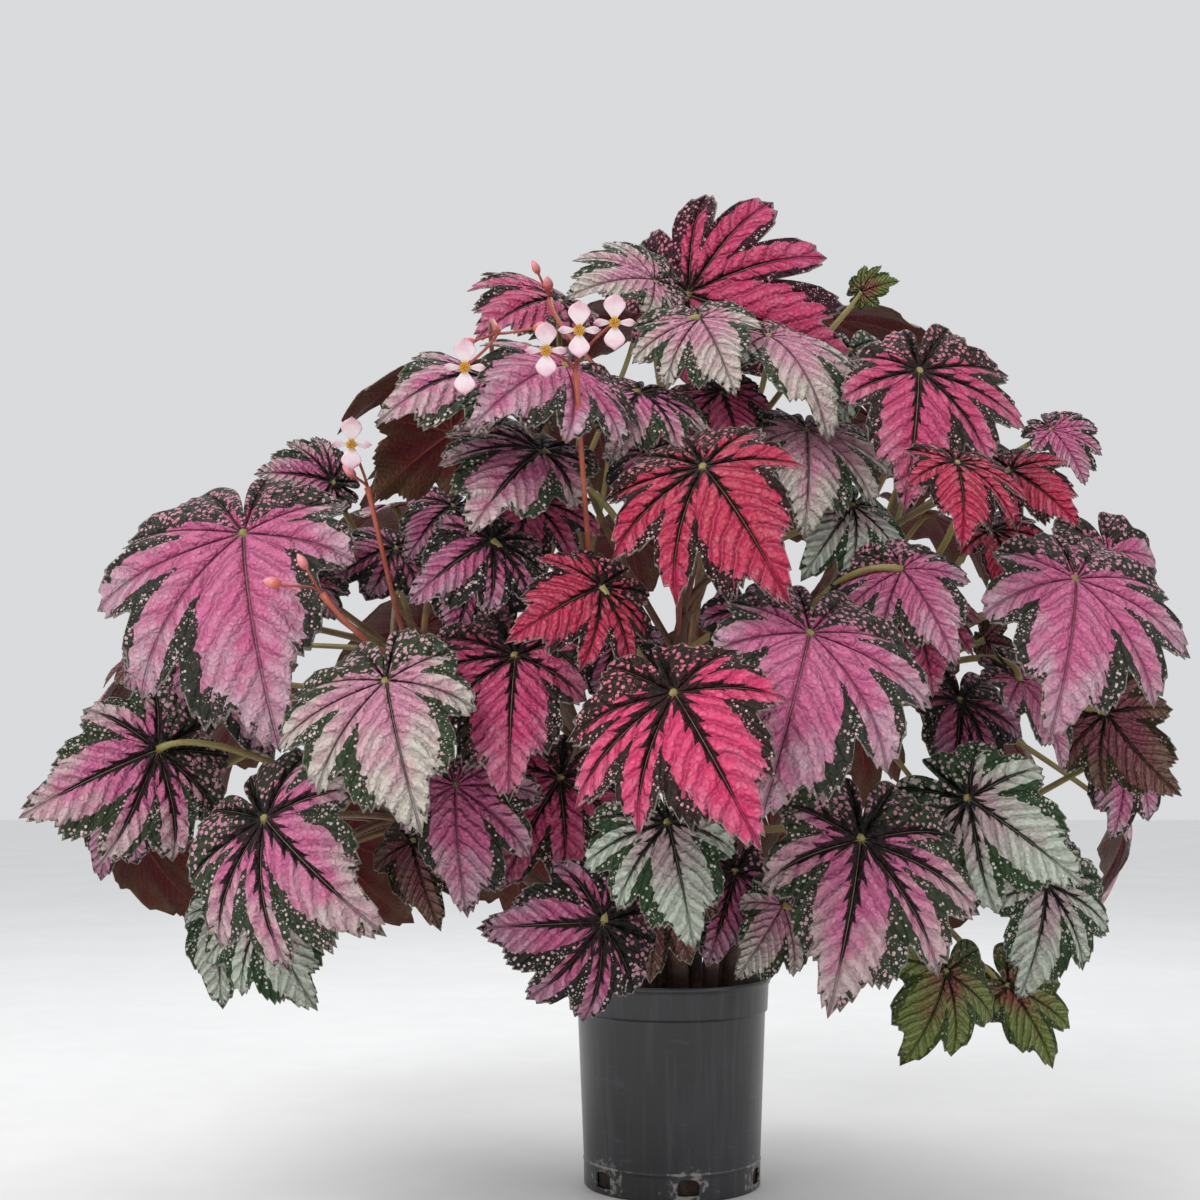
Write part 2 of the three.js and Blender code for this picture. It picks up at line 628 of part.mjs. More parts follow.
// The places of one spray's fork, flowers and buds, moved towards the viewer until they are clear of the
// leaves.
function laySpray(spray, laid) {
  const STEP = 4;
  const MOST_STEPS = 40;
  const deep = domeForward(...spray.fork) + spray.lift;
  const fork = seen(...spray.fork, deep);
  const flowers = spray.flowers.map((pixel, i) => seen(...pixel, deep + FLOWER_STAND + FLOWER_STEP * i));
  const buds = spray.buds.map((pixel) => seen(...pixel, deep + BUD_STAND));
  const way = EYE.clone().sub(fork).normalize();
  const halfway = [...flowers, ...buds].map((end) => end.clone().lerp(fork, 0.5));
  const around = [fork, ...buds, ...halfway];
  for (const middle of flowers) {
    around.push(middle);
    for (const { turn, length } of PETALS) {
      const out = new THREE.Vector3(Math.cos(degrees(turn)), 0, Math.sin(degrees(turn)));
      around.push(middle.clone().addScaledVector(out, length));
    }
  }
  const clear = BLADE_CLEARANCE + STEM_CLEARANCE;
  const blocked = () => laid.some((blade) => countOnBlade(around, blade, clear) > 0);
  for (let step = 0; step < MOST_STEPS && blocked(); step++) {
    for (const p of around) p.addScaledVector(way, STEP);
  }
  return { fork, flowers, buds, facing: way };
}

// Lays every spray and routes its stalk from its stem to its fork.
function growSprays(stems, laid, petiolePaths) {
  const paths = [...petiolePaths];
  for (const row of SPRAYS) {
    const stem = stems.find(({ name }) => name === "stem_" + row.stem);
    const spray = laySpray(row, laid);
    const others = stems.filter((other) => other !== stem);
    const foreign = laid.filter((other) => !stem.leaves.includes(other));
    const woods = others.map((other) => alongRuns(other.curve.getPoints(STEM_STEPS)));
    let best = null;
    for (const share of LEAVING_SHARES) {
      const root = stem.curve.getPoint(share);
      const span = spray.fork.clone().sub(root);
      const along = span.clone().normalize();
      const across = along.clone().cross(spray.facing).normalize();
      const rise = stem.curve.getTangent(share).multiplyScalar(LEAVE_SHARE * span.length());
      const behind = spray.fork.clone().addScaledVector(spray.facing, -STALK_ARRIVE);
      behind.z = spray.fork.z - STALK_ARRIVE;
      for (const size of BOW_SIZES) {
        for (const bow of bowsOf({ across, along }, size)) {
          const early = root.clone().add(rise).add(bow);
          const curve = new THREE.CubicBezierCurve3(root, early, behind.clone().add(bow), spray.fork);
          const route = { curve, steps: STALK_STEPS, size };
          best = betterRoute(best, route, stem.leaves, foreign, paths, woods);
        }
      }
    }
    spray.stalk = best.curve;
    paths.push(best.path);
    stem.sprays.push(spray);
  }
}

// A closed manifold solid from a three.js geometry.
function solidOf(geometry) {
  const bare = geometry.clone();
  for (const name of Object.keys(bare.attributes)) if (name !== "position") bare.deleteAttribute(name);
  const merged = mergeVertices(bare, 1e-4);
  return new wasm.Manifold(
    new wasm.Mesh({
      numProp: 3,
      vertProperties: new Float32Array(merged.attributes.position.array),
      triVerts: new Uint32Array(merged.index.array),
    }),
  );
}

// A three.js geometry from a manifold solid.
function geometryOf(solid) {
  const mesh = solid.getMesh();
  const positions = new Float32Array(mesh.numVert * 3);
  for (let i = 0; i < mesh.numVert; i++) {
    positions.set(mesh.vertProperties.subarray(i * mesh.numProp, i * mesh.numProp + 3), i * 3);
  }
  const geometry = new THREE.BufferGeometry();
  geometry.setAttribute("position", new THREE.BufferAttribute(positions, 3));
  geometry.setIndex(new THREE.BufferAttribute(new Uint32Array(mesh.triVerts), 1));
  geometry.computeVertexNormals();
  return geometry;
}

// A three.js geometry from a list of points and the faces between them.
function indexed(points, faces) {
  const geometry = new THREE.BufferGeometry();
  const numbers = points.flatMap((p) => [p.x, p.y, p.z]);
  geometry.setAttribute("position", new THREE.Float32BufferAttribute(numbers, 3));
  geometry.setIndex(faces.flat());
  return geometry;
}

// Rings of points round a path, one at each of its points, carried along without twist from a first
// outward way.
function ringsAlong(points, sides, radiusAt, outward) {
  const way = outward.clone();
  const last = points.length - 1;
  return points.map((middle, i) => {
    const ahead = points[Math.min(i + 1, last)].clone().sub(points[Math.max(i - 1, 0)]).normalize();
    way.addScaledVector(ahead, -way.dot(ahead)).normalize();
    const beside = ahead.clone().cross(way);
    const radius = radiusAt(i / last);
    return Array.from({ length: sides }, (_, k) => {
      const turn = (2 * Math.PI * k) / sides;
      const out = middle.clone().addScaledVector(way, radius * Math.cos(turn));
      return out.addScaledVector(beside, radius * Math.sin(turn));
    });
  });
}

// Faces of the wall between rings of points that start at `first`, each ring `sides` long.
function wallFaces(first, rings, sides) {
  const faces = [];
  for (let i = 0; i + 1 < rings; i++) {
    for (let k = 0; k < sides; k++) {
      const a = first + i * sides + k;
      const b = first + i * sides + ((k + 1) % sides);
      faces.push([a, b, a + sides], [b, b + sides, a + sides]);
    }
  }
  return faces;
}

// Faces of the flat end over one ring.
function endFaces(first, sides, reversed) {
  const faces = [];
  for (let k = 1; k + 1 < sides; k++) {
    const [near, far] = reversed ? [k + 1, k] : [k, k + 1];
    faces.push([first, first + near, first + far]);
  }
  return faces;
}

// A round tube through a list of points, with flat ends.
function tube(points, sides, radiusAt) {
  const outward = Math.abs(points[1].clone().sub(points[0]).normalize().x) < 0.8 ? [1, 0, 0] : [0, 1, 0];
  const rings = ringsAlong(points, sides, radiusAt, new THREE.Vector3(...outward));
  const last = (rings.length - 1) * sides;
  const ends = [...endFaces(0, sides, true), ...endFaces(last, sides, false)];
  return solidOf(indexed(rings.flat(), [...wallFaces(0, rings.length, sides), ...ends]));
}

// One blade grown together with its petiole. The blade has a fan from the petiole point to a ring across
// the veins, a strip from the ring to the tips and notches, the same again below, and a wall round the
// edge; below, the petiole's three-sided end takes the place of the fan's middle.
function leafSolid(blade) {
  const { plan, loop, fan, strip, rim } = blade.outline;
  const { middle } = blade;
  const normals = middle.map(() => new THREE.Vector3());
  for (const [a, b, c] of [...fan, ...strip]) {
    const normal = middle[b].clone().sub(middle[a]).cross(middle[c].clone().sub(middle[a]));
    for (const v of [a, b, c]) normals[v].add(normal);
  }
  const above = middle.map((p, i) => p.clone().addScaledVector(normals[i].normalize(), BLADE_THICKNESS / 2));
  const below = middle.map((p, i) => p.clone().addScaledVector(normals[i], -BLADE_THICKNESS / 2));
  const count = middle.length;
  const petiole = blade.petiole.getPoints(PETIOLE_STEPS).reverse();
  const lean = blade.frame.along.clone().applyAxisAngle(blade.frame.normal, Math.PI / 3);
  const rings = ringsAlong(petiole.slice(1), 3, (t) => PETIOLE_RADIUS * (1 + PETIOLE_TAPER * t), lean);
  const seat = [60, 180, 300].map((turn) => {
    const way = blade.frame.along.clone().applyAxisAngle(blade.frame.normal, degrees(turn));
    return below[0].clone().addScaledVector(way, PETIOLE_RADIUS);
  });
  // The rings run from the blade down, so each is turned over to run the same way round as the seat.
  const rows = [seat, ...rings.map(([a, b, c]) => [a, c, b])];
  const first = 2 * count;
  const nearest = (v) => first + (((Math.floor(THREE.MathUtils.radToDeg(plan[v].angle) / 120) % 3) + 3) % 3);
  const faces = [...fan, ...strip, ...strip.map(([a, b, c]) => [a + count, c + count, b + count])];
  loop.forEach((v, i) => {
    const next = loop[(i + 1) % loop.length];
    faces.push([nearest(v), next + count, v + count]);
    if (nearest(next) !== nearest(v)) faces.push([nearest(v), nearest(next), next + count]);
  });
  rim.forEach((a, i) => {
    const b = rim[(i + 1) % rim.length];
    faces.push([a, a + count, b], [b, a + count, b + count]);
  });
  faces.push(...wallFaces(first, rows.length, 3).map(([a, b, c]) => [a, c, b]));
  faces.push(...endFaces(first + 3 * (rows.length - 1), 3, true));
  return solidOf(indexed([...above, ...below, ...rows.flat()], faces));
}

// How far out the pot's body reaches inside at a height.
function potInside(z) {
  const slope = (BODY_TOP_RADIUS - BODY_FOOT_RADIUS) / (POT_HEIGHT - COLLAR_DROP);
  return BODY_FOOT_RADIUS - WALL + slope * (z - FLOOR);
}

// Pot wall and floor, turned, then cut for the square drain holes.
function potSolid() {
  const collar = POT_HEIGHT - COLLAR_DROP;
  const grooveTop = GROOVE.height + GROOVE.width;
  const profile = [
    [0, 0],
    [BODY_FOOT_RADIUS, 0],
    [BODY_FOOT_RADIUS + 0.3 + GROOVE.depth, GROOVE.height],
    [BODY_FOOT_RADIUS + 0.3, grooveTop],
    [BODY_TOP_RADIUS, collar - 1.5],
    [RIM_RADIUS - LIP.step - COLLAR_SLOPE, collar],
    [RIM_RADIUS - LIP.step, POT_HEIGHT - 1.4 * LIP.drop],
    [RIM_RADIUS, POT_HEIGHT - LIP.drop],
    [RIM_RADIUS, POT_HEIGHT],
    [RIM_RADIUS - LIP.width, POT_HEIGHT],
    [BODY_TOP_RADIUS - WALL, collar],
    [potInside(FLOOR) - 0.4, FLOOR],
    [0, FLOOR],
  ].map(([r, z]) => new THREE.Vector2(r, z));
  let solid = solidOf(new THREE.LatheGeometry(profile, POT_SIDES).rotateX(Math.PI / 2));
  for (let k = 0; k < DRAIN_HOLE.count; k++) {
    const hole = new THREE.BoxGeometry(DRAIN_HOLE.width, 10 * WALL, DRAIN_HOLE.height);
    hole.translate(0, -BODY_FOOT_RADIUS, DRAIN_HOLE.sill + DRAIN_HOLE.height / 2);
    hole.rotateZ(degrees(DRAIN_HOLE.turn) + (2 * Math.PI * k) / DRAIN_HOLE.count);
    solid = solid.subtract(solidOf(hole));
  }
  return solid;
}

// Soil up to a little below the rim, mounded round the stems, with a plain hole for each stem.
function soilSolid(feet) {
  const top = POT_HEIGHT - SOIL_DEPTH_BELOW_RIM;
  // The pot's flats lie a little inside its corners, so the soil keeps inside the flats.
  const inside = (z) => (potInside(z) - 0.4) * Math.cos(Math.PI / POT_SIDES) - GAP;
  const edge = top - MOUND.edgeDrop;
  const profile = [
    [0, FLOOR + GAP],
    [inside(FLOOR), FLOOR + GAP],
    [inside(edge), edge],
    [inside(edge) - MOUND.edgeWidth, top - 1],
    [MOUND.shoulder, top + MOUND.rise - 1],
    [0, top + MOUND.rise],
  ].map(([r, z]) => new THREE.Vector2(r, z));
  let solid = solidOf(new THREE.LatheGeometry(profile, SOIL_SIDES).rotateX(Math.PI / 2));
  for (const foot of feet) {
    const radius = (STEM_FOOT_RADIUS + GAP) / Math.cos(Math.PI / STEM_SIDES);
    const depth = STEM_ROOT + GAP;
    const hole = new THREE.CylinderGeometry(radius, radius, 2 * depth, STEM_SIDES).rotateX(Math.PI / 2);
    solid = solid.subtract(solidOf(hole.translate(foot.x, foot.y, top)));
  }
  return solid;
}

// Places in the soil for all the stems: those that rise most steeply stand in the inner ring and the
// others in the outer, each ring in order of bearing, so that no stem crosses another.
function plantFeet(stems) {
  const spread = (stem) => Math.hypot(stem.middle.x - CORE.x, stem.middle.y);
  const steepness = (stem) => stem.middle.z - 0.9 * spread(stem);
  const bearing = (stem) => Math.atan2(stem.middle.x - CORE.x, -stem.middle.y);
  const queue = [...stems].sort((a, b) => steepness(b) - steepness(a));
  for (const { count, radius } of STEM_RINGS) {
    const ring = queue.splice(0, count).sort((a, b) => bearing(a) - bearing(b));
    const lag = (stem, k) => bearing(stem) - (2 * Math.PI * k) / count;
    const start = ring.reduce((sum, stem, k) => sum + lag(stem, k), 0) / ring.length;
    ring.forEach((stem, k) => {
      const turn = start + (2 * Math.PI * k) / count;
      stem.foot = new THREE.Vector2(radius * Math.sin(turn), -radius * Math.cos(turn));
    });
  }
}

// Every stem with its leaves, its foot and its path.
function growStems() {
  const draw = seededDraw(BACK_SEED);
  const stems = [];
  for (const [name, rows] of Object.entries(FRONT_STEMS)) {
    stems.push({ name: "stem_" + name, leaves: rows.map((row) => frontLeaf(row, draw)) });
  }
  BACK_BEARINGS.forEach((bearing, i) => {
    const tiers = i % 2 ? BACK_TIERS : [...BACK_TIERS, CROWN_TIER];
    const tone = (k) => BACK_TONES[(3 * i + k) % BACK_TONES.length];
    const leaves = tiers.map((tier, k) => backLeaf(tier, bearing, tone(k), draw));
    stems.push({ name: "stem_back_" + (i + 1), leaves });
  });
  for (const stem of stems) {
    const sum = stem.leaves.reduce((total, b) => total.add(b.frame.at), new THREE.Vector3());
    stem.middle = sum.divideScalar(stem.leaves.length);
  }
  plantFeet(stems);
  for (const stem of stems) {
    stem.curve = stemCurve(stem.foot, stem.middle);
    stem.sprays = [];
  }
  const laid = layLeaves(stems);
  growSprays(stems, laid, routePetioles(stems, laid));
  return stems;
}

// A pedicel from a spray's fork to one end, which it meets along the way that the end faces.
function pedicelPoints(spray, end, facing) {
  const reach = 0.4 * spray.fork.distanceTo(end);
  const ahead = spray.stalk.getTangent(1);
  const start = spray.fork.clone().addScaledVector(ahead, -PEDICEL_RADIUS);
  const early = start.clone().addScaledVector(ahead, reach);
  const late = end.clone().addScaledVector(facing, -reach);
  return new THREE.CubicBezierCurve3(start, early, late, end).getPoints(2);
}

// The stalk of a spray with its pedicels and buds, as pieces that overlap and are joined with their stem.
function sprayPieces(spray) {
  const pieces = [tube(spray.stalk.getPoints(STALK_STEPS), 3, () => STALK_RADIUS)];
  for (const middle of spray.flowers) {
    const end = middle.clone().addScaledVector(spray.facing, -PETAL_THICKNESS - 2 * GAP);
    pieces.push(tube(pedicelPoints(spray, end, spray.facing), 3, () => PEDICEL_RADIUS));
  }
  for (const end of spray.buds) {
    const way = end.clone().sub(spray.fork).normalize();
    const [near, mid, far] = [-0.5, 0, 0.5].map((k) => end.clone().addScaledVector(way, k * BUD_LENGTH));
    pieces.push(tube(pedicelPoints(spray, mid, way), 3, () => PEDICEL_RADIUS));
    pieces.push(tube([near, mid, far], 4, (t) => (t === 0.5 ? BUD_RADIUS : 0.35 * BUD_RADIUS)));
  }
  return pieces;
}

// One open flower: four cupped petals round a throat, as one thin plate, with a knob of stamens in the
// middle.
function flowerSolid(middle, facing) {
  const side = new THREE.Vector3(0, 0, 1).cross(facing).normalize();
  const basis = new THREE.Matrix4().makeBasis(side, facing.clone().cross(side), facing).setPosition(middle);
  const flat = [new THREE.Vector3()];
  const polar = (turn, radius) => {
    const out = new THREE.Vector3(radius * Math.cos(degrees(turn)), radius * Math.sin(degrees(turn)), 0);
    flat.push(out.setZ((PETAL_CUP * radius) / PETALS[1].length));
  };
  PETALS.forEach(({ turn, half, length }, i) => {
    const steps = half > 20 ? [-1, -0.5, 0, 0.5, 1] : [-1, 0, 1];
    for (const step of steps) polar(turn + step * half, length * (1 - PETAL_ROUNDING * step * step));
    const next = PETALS[(i + 1) % PETALS.length];
    polar(turn + half + 0.5 * (90 - half - next.half), FLOWER_THROAT);
  });
  const count = flat.length;
  const loop = flat.slice(1).map((_, i) => i + 1);
  const faces = loop.map((a, i) => [0, a, loop[(i + 1) % loop.length]]);
  faces.push(...faces.map(([a, b, c]) => [a + count, c + count, b + count]));
  loop.forEach((a, i) => {
    const b = loop[(i + 1) % loop.length];
    faces.push([a, a + count, b], [b, a + count, b + count]);
  });
  const place = (p, lower) => new THREE.Vector3(p.x, p.y, p.z - lower * PETAL_THICKNESS).applyMatrix4(basis);
  const petals = solidOf(indexed([...flat.map((p) => place(p, 0)), ...flat.map((p) => place(p, 1))], faces));
  const heights = [STAMENS.foot, STAMENS.middle, STAMENS.top];
  const points = heights.map((height) => middle.clone().addScaledVector(facing, height));
  return petals.add(tube(points, 4, (t) => (t === 1 ? STAMENS.topRadius : STAMENS.radius)));
}

// One leafy stem as a solid: the stem, its petioles, blades and sprays, grown together.
function stemSolid(stem) {
  // The stem keeps its full thickness in the soil and tapers from there up.
  const taper = (t) => {
    const share = THREE.MathUtils.clamp(1.6 * t - 0.6, 0, 1);
    return THREE.MathUtils.lerp(STEM_FOOT_RADIUS, STEM_HEAD_RADIUS, share);
  };
  const mouth = stem.curve.getPoint(0);
  const root = mouth.clone().setZ(POT_HEIGHT - SOIL_DEPTH_BELOW_RIM - STEM_ROOT);
  const wood = tube([root, ...stem.curve.getPoints(STEM_STEPS)], STEM_SIDES, taper);
  const pieces = [...stem.leaves.map(leafSolid), ...stem.sprays.flatMap(sprayPieces)];
  const grown = wasm.Manifold.union([wood, ...pieces]);
  // Where two thin pieces cross they may seal a tiny pocket, which the main body leaves out and so fills.
  return grown.decompose().reduce((main, body) => (body.volume() > main.volume() ? body : main));
}

const stems = growStems();
const group = new THREE.Group();

function addNode(name, solid, color, roughness) {
  const material = new THREE.MeshStandardMaterial({ color, roughness, metalness: 0 });
  const mesh = new THREE.Mesh(geometryOf(solid), material);
  mesh.name = name;
  group.add(mesh);
}

addNode("pot", potSolid(), 0x2b2c2f, 0.5);
addNode("soil", soilSolid(stems.map((stem) => stem.foot)), 0x2a1d14, 0.95);
for (const stem of stems) {
  addNode(stem.name, stemSolid(stem), TONES[stem.leaves.at(-1).tone], 0.55);
}
const blooms = stems.flatMap((stem) => stem.sprays).flatMap(({ flowers, facing }) => {
  return flowers.map((middle) => flowerSolid(middle, facing));
});
blooms.forEach((bloom, i) => addNode("flower_" + (i + 1), bloom, 0xf3dfe4, 0.5));

export default group;
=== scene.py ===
"""Looks of a potted rex begonia: its nursery can, its potting mix, its eighteen leafy stems and its flowers.

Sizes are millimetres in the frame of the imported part, and become metres as each mesh is made. The leaves are
laid and their petioles routed by the same seeded rules as the part's solids, so every fine blade lies on its
solid.
"""

from __future__ import annotations

import logging
import math
from collections.abc import Callable
from dataclasses import dataclass, field
from enum import Enum
from functools import lru_cache
from typing import Any, NamedTuple

import bpy
import numpy as np
from numpy.typing import NDArray
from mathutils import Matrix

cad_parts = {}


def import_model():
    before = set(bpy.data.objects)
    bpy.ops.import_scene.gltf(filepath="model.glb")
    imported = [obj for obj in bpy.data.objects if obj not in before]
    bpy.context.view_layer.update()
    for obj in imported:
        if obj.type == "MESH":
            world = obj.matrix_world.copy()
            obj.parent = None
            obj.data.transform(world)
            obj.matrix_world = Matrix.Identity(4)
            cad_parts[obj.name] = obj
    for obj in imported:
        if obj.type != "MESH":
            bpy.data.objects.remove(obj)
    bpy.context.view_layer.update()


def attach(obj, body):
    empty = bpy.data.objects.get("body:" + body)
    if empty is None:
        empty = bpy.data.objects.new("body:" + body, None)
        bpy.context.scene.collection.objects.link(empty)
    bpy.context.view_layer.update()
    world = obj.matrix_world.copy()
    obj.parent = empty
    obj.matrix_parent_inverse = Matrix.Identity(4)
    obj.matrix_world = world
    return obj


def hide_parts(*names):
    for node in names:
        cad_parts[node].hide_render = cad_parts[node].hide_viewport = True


Array = NDArray[np.float64]
Faces = NDArray[np.int64]
Truths = NDArray[np.bool_]
Pixel = tuple[float, float]
Colour = tuple[float, float, float]
LOG = logging.getLogger("begonia")
METRES = 0.001


def vec(*values: float) -> Array:
    """A vector from its numbers."""
    return np.array(values, dtype=float)


def unit(vectors: Array) -> Array:
    """Vectors divided by their own lengths."""
    return vectors / np.linalg.norm(vectors, axis=-1, keepdims=True)


def turned(vector: Array, axis: Array, angle: Array | float) -> Array:
    """A vector turned about a unit vector: its part along that stays, and the rest swings round it."""
    along = axis * (vector @ axis)
    return along + (vector - along) * np.cos(angle) + np.cross(axis, vector) * np.sin(angle)


def ease(low: float, high: float, values: Array) -> Array:
    """A smooth step from 0 at one value to 1 at another, level at both ends."""
    share = np.clip((values - low) / (high - low), 0.0, 1.0)
    return share * share * (3.0 - 2.0 * share)


def shade(code: int) -> Colour:
    """The linear colour of a display colour, given with two hexadecimal digits for each of its parts."""
    parts = ((code >> shift & 255) / 255 for shift in (16, 8, 0))
    return tuple(part / 12.92 if part <= 0.04045 else ((part + 0.055) / 1.055) ** 2.4 for part in parts)


class Draw:
    """Seeded draws from 0 to 1, by a congruential rule that whole numbers hold exactly."""

    def __init__(self, seed: int) -> None:
        """Starts the row of draws at its seed."""
        self.state = seed

    def __call__(self) -> float:
        """The next draw."""
        self.state = self.state * 16807 % 2147483647
        return self.state / 2147483647

    def about(self, width: float) -> float:
        """The next draw, spread about 0 over a width."""
        return width * (self() - 0.5)


def cubic(controls: Array, times: Array) -> Array:
    """Points of cubic curves: four control points, the last axis but one, weighed by the Bernstein terms."""
    t = np.asarray(times, dtype=float)
    return np.stack([(1 - t) ** 3, 3 * (1 - t) ** 2 * t, 3 * (1 - t) * t**2, t**3], axis=-1) @ controls


def heading(controls: Array, time: float) -> Array:
    """The way that a cubic curve runs at a place, from two points close on either side of it."""
    near, far = cubic(controls, vec(max(time - 1e-4, 0.0), min(time + 1e-4, 1.0)))
    return unit(far - near)


def along_runs(corners: Array, spacing: float = 8.0) -> tuple[Array, Faces]:
    """Spreads points evenly along straight runs between corners, leaving out each path's last corner.

    Args:
        corners: the corners of every path, of shape (paths, corners, 3).
        spacing: the greatest distance between two points of a run.

    Returns:
        The points, and the number of the path that each belongs to.
    """
    start, step = corners[:, :-1], np.diff(corners, axis=1)
    parts = np.maximum(np.ceil(np.linalg.norm(step, axis=-1) / spacing), 1)[..., None]
    count = np.arange(int(parts.max()))
    points = start[..., None, :] + step[..., None, :] * (count / parts)[..., None]
    used = count < parts
    return points[used], np.nonzero(used)[0]


def gaps_squared(triangles: Array, points: Array) -> Array:
    """The squared distance from each point to the nearest triangle.

    The nearest point is on the triangle's face where the foot of the perpendicular falls inside it, and on
    one of its three edges otherwise. All of it comes from the products of the point with two edges.

    Args:
        triangles: the corners of the triangles, of shape (triangles, 3, 3).
        points: the points, of shape (points, 3).

    Returns:
        One squared distance for each point.
    """
    a, ab, ac = triangles[:, 0], triangles[:, 1] - triangles[:, 0], triangles[:, 2] - triangles[:, 0]
    bb, bc, cc = (ab * ab).sum(1), (ab * ac).sum(1), (ac * ac).sum(1)
    pb, pc = (points @ edge.T - (a * edge).sum(1) for edge in (ab, ac))
    away = (points * points).sum(1)[:, None] - 2.0 * (points @ a.T) + (a * a).sum(1)
    size = bb * cc - bc * bc
    v, w = (cc * pb - bc * pc) / size, (bb * pc - bc * pb) / size
    far, run = bb - 2.0 * bc + cc, pc - pb - (bc - bb)

    def edge_gap(gap: Array, product: Array, length: Array) -> Array:
        """The squared distance to an edge, from that to its start and the product with the edge."""
        t = np.clip(product / length, 0.0, 1.0)
        return gap - 2.0 * t * product + t * t * length

    edge = np.minimum(edge_gap(away, pb, bb), edge_gap(away, pc, cc))
    edge = np.minimum(edge, edge_gap(away - 2.0 * pb + bb, run, far))
    inside = (v >= 0.0) & (w >= 0.0) & (v + w <= 1.0)
    return np.where(inside, away - v * pb - w * pc, edge).min(axis=1)


@dataclass(frozen=True)
class ReferenceView:
    """The view that the front leaves are placed from: a level square frame, tipped up a little."""

    distance: float = 1500.0
    height: float = 340.0
    aside: float = -60.6
    focal: float = 1732.0
    middle: float = 600.0
    tip: float = math.radians(5.8)

    @property
    def eye(self) -> Array:
        """Where the view is taken from."""
        return vec(self.aside, -self.distance, self.height)

    def seen(self, pixel: Pixel, forward: float) -> Array:
        """The point that shows at a pixel, on an upright plane.

        Args:
            pixel: the place in the frame, across and down.
            forward: how much nearer than the pot's axis the plane stands.

        Returns:
            The point.
        """
        rise = self.middle - pixel[1]
        away = self.focal * math.cos(self.tip) - rise * math.sin(self.tip)
        upward = self.focal * math.sin(self.tip) + rise * math.cos(self.tip)
        scale = (self.distance - forward) / away
        return vec(self.aside + (pixel[0] - self.middle) * scale, -forward, self.height + upward * scale)


@dataclass(frozen=True)
class FoliageDome:
    """The dome that the foliage follows: its middle, its half axes, and the lean of its upper part."""

    x: float = -52.0
    z: float = 354.0
    wide: float = 510.0
    deep: float = 360.0
    up: float = 490.0
    down: float = 270.0
    lean: float = 0.22
    upper_taper: float = 1.5
    back_inset: float = 70.0
    back_depth_share: float = 0.6

    def girth(self, sine: float) -> float:
        """How wide the dome is at a height, as a share of its widest."""
        cosine = math.sqrt(max(0.01, 1.0 - sine * sine))
        return cosine**self.upper_taper if sine > 0 else cosine

    def forward(self, view: ReferenceView, pixel: Pixel) -> float:
        """How far forward of the pot's axis the dome lies at a pixel.

        Args:
            view: the view that the pixel is in.
            pixel: the place in its frame.

        Returns:
            The distance, 0 outside the dome.
        """
        flat = view.seen(pixel, 0.0)
        rise = flat[2] - self.z
        aside = flat[0] - self.x - self.lean * max(0.0, rise)
        girth = self.girth(rise / (self.up if rise > 0 else self.down))
        return self.deep * girth * math.sqrt(max(0.0, 1.0 - (aside / (self.wide * girth)) ** 2))

    def behind(self, azimuth: float, height: float, lift: float) -> Array:
        """A point on the smaller dome that the back leaves follow.

        Args:
            azimuth: its bearing from straight forward, in radians.
            height: its angle above the middle, in radians.
            lift: how far outside that dome it lies.

        Returns:
            The point.
        """
        inset = lift - self.back_inset
        rise = ((self.up if height > 0 else self.down) + inset) * math.sin(height)
        girth = self.girth(math.sin(height))
        aside = (self.wide + inset) * girth * math.sin(azimuth)
        forward = (self.deep + self.back_depth_share * inset) * girth * math.cos(azimuth)
        return vec(self.x + self.lean * max(0.0, rise) + aside, -forward, self.z + rise)


@dataclass(frozen=True)
class LeafColours:
    """The colours and the pattern of one kind of leaf.

    Attributes:
        blush: the colour between the veins near the middle of the blade.
        tip: the colour that the blush fades to at the tips of the lobes.
        zone: the colour of the dark zones that run in from the notches.
        star: how wide the dark arms along the main veins are, 1 being usual.
        margin: how far the zones reach in, as a share of the usual.
        dots: how thickly the zones are dotted, from 0 to 1.
        fade: how soon the blush fades to the tip's colour, from 0 to 1.
        cut: how deeply the lobes are cut, from 0 to 1.
        point: how pointed they are, from 0 for round to 1.
    """

    blush: int
    tip: int
    zone: int
    star: float
    margin: float
    dots: float
    fade: float
    cut: float
    point: float


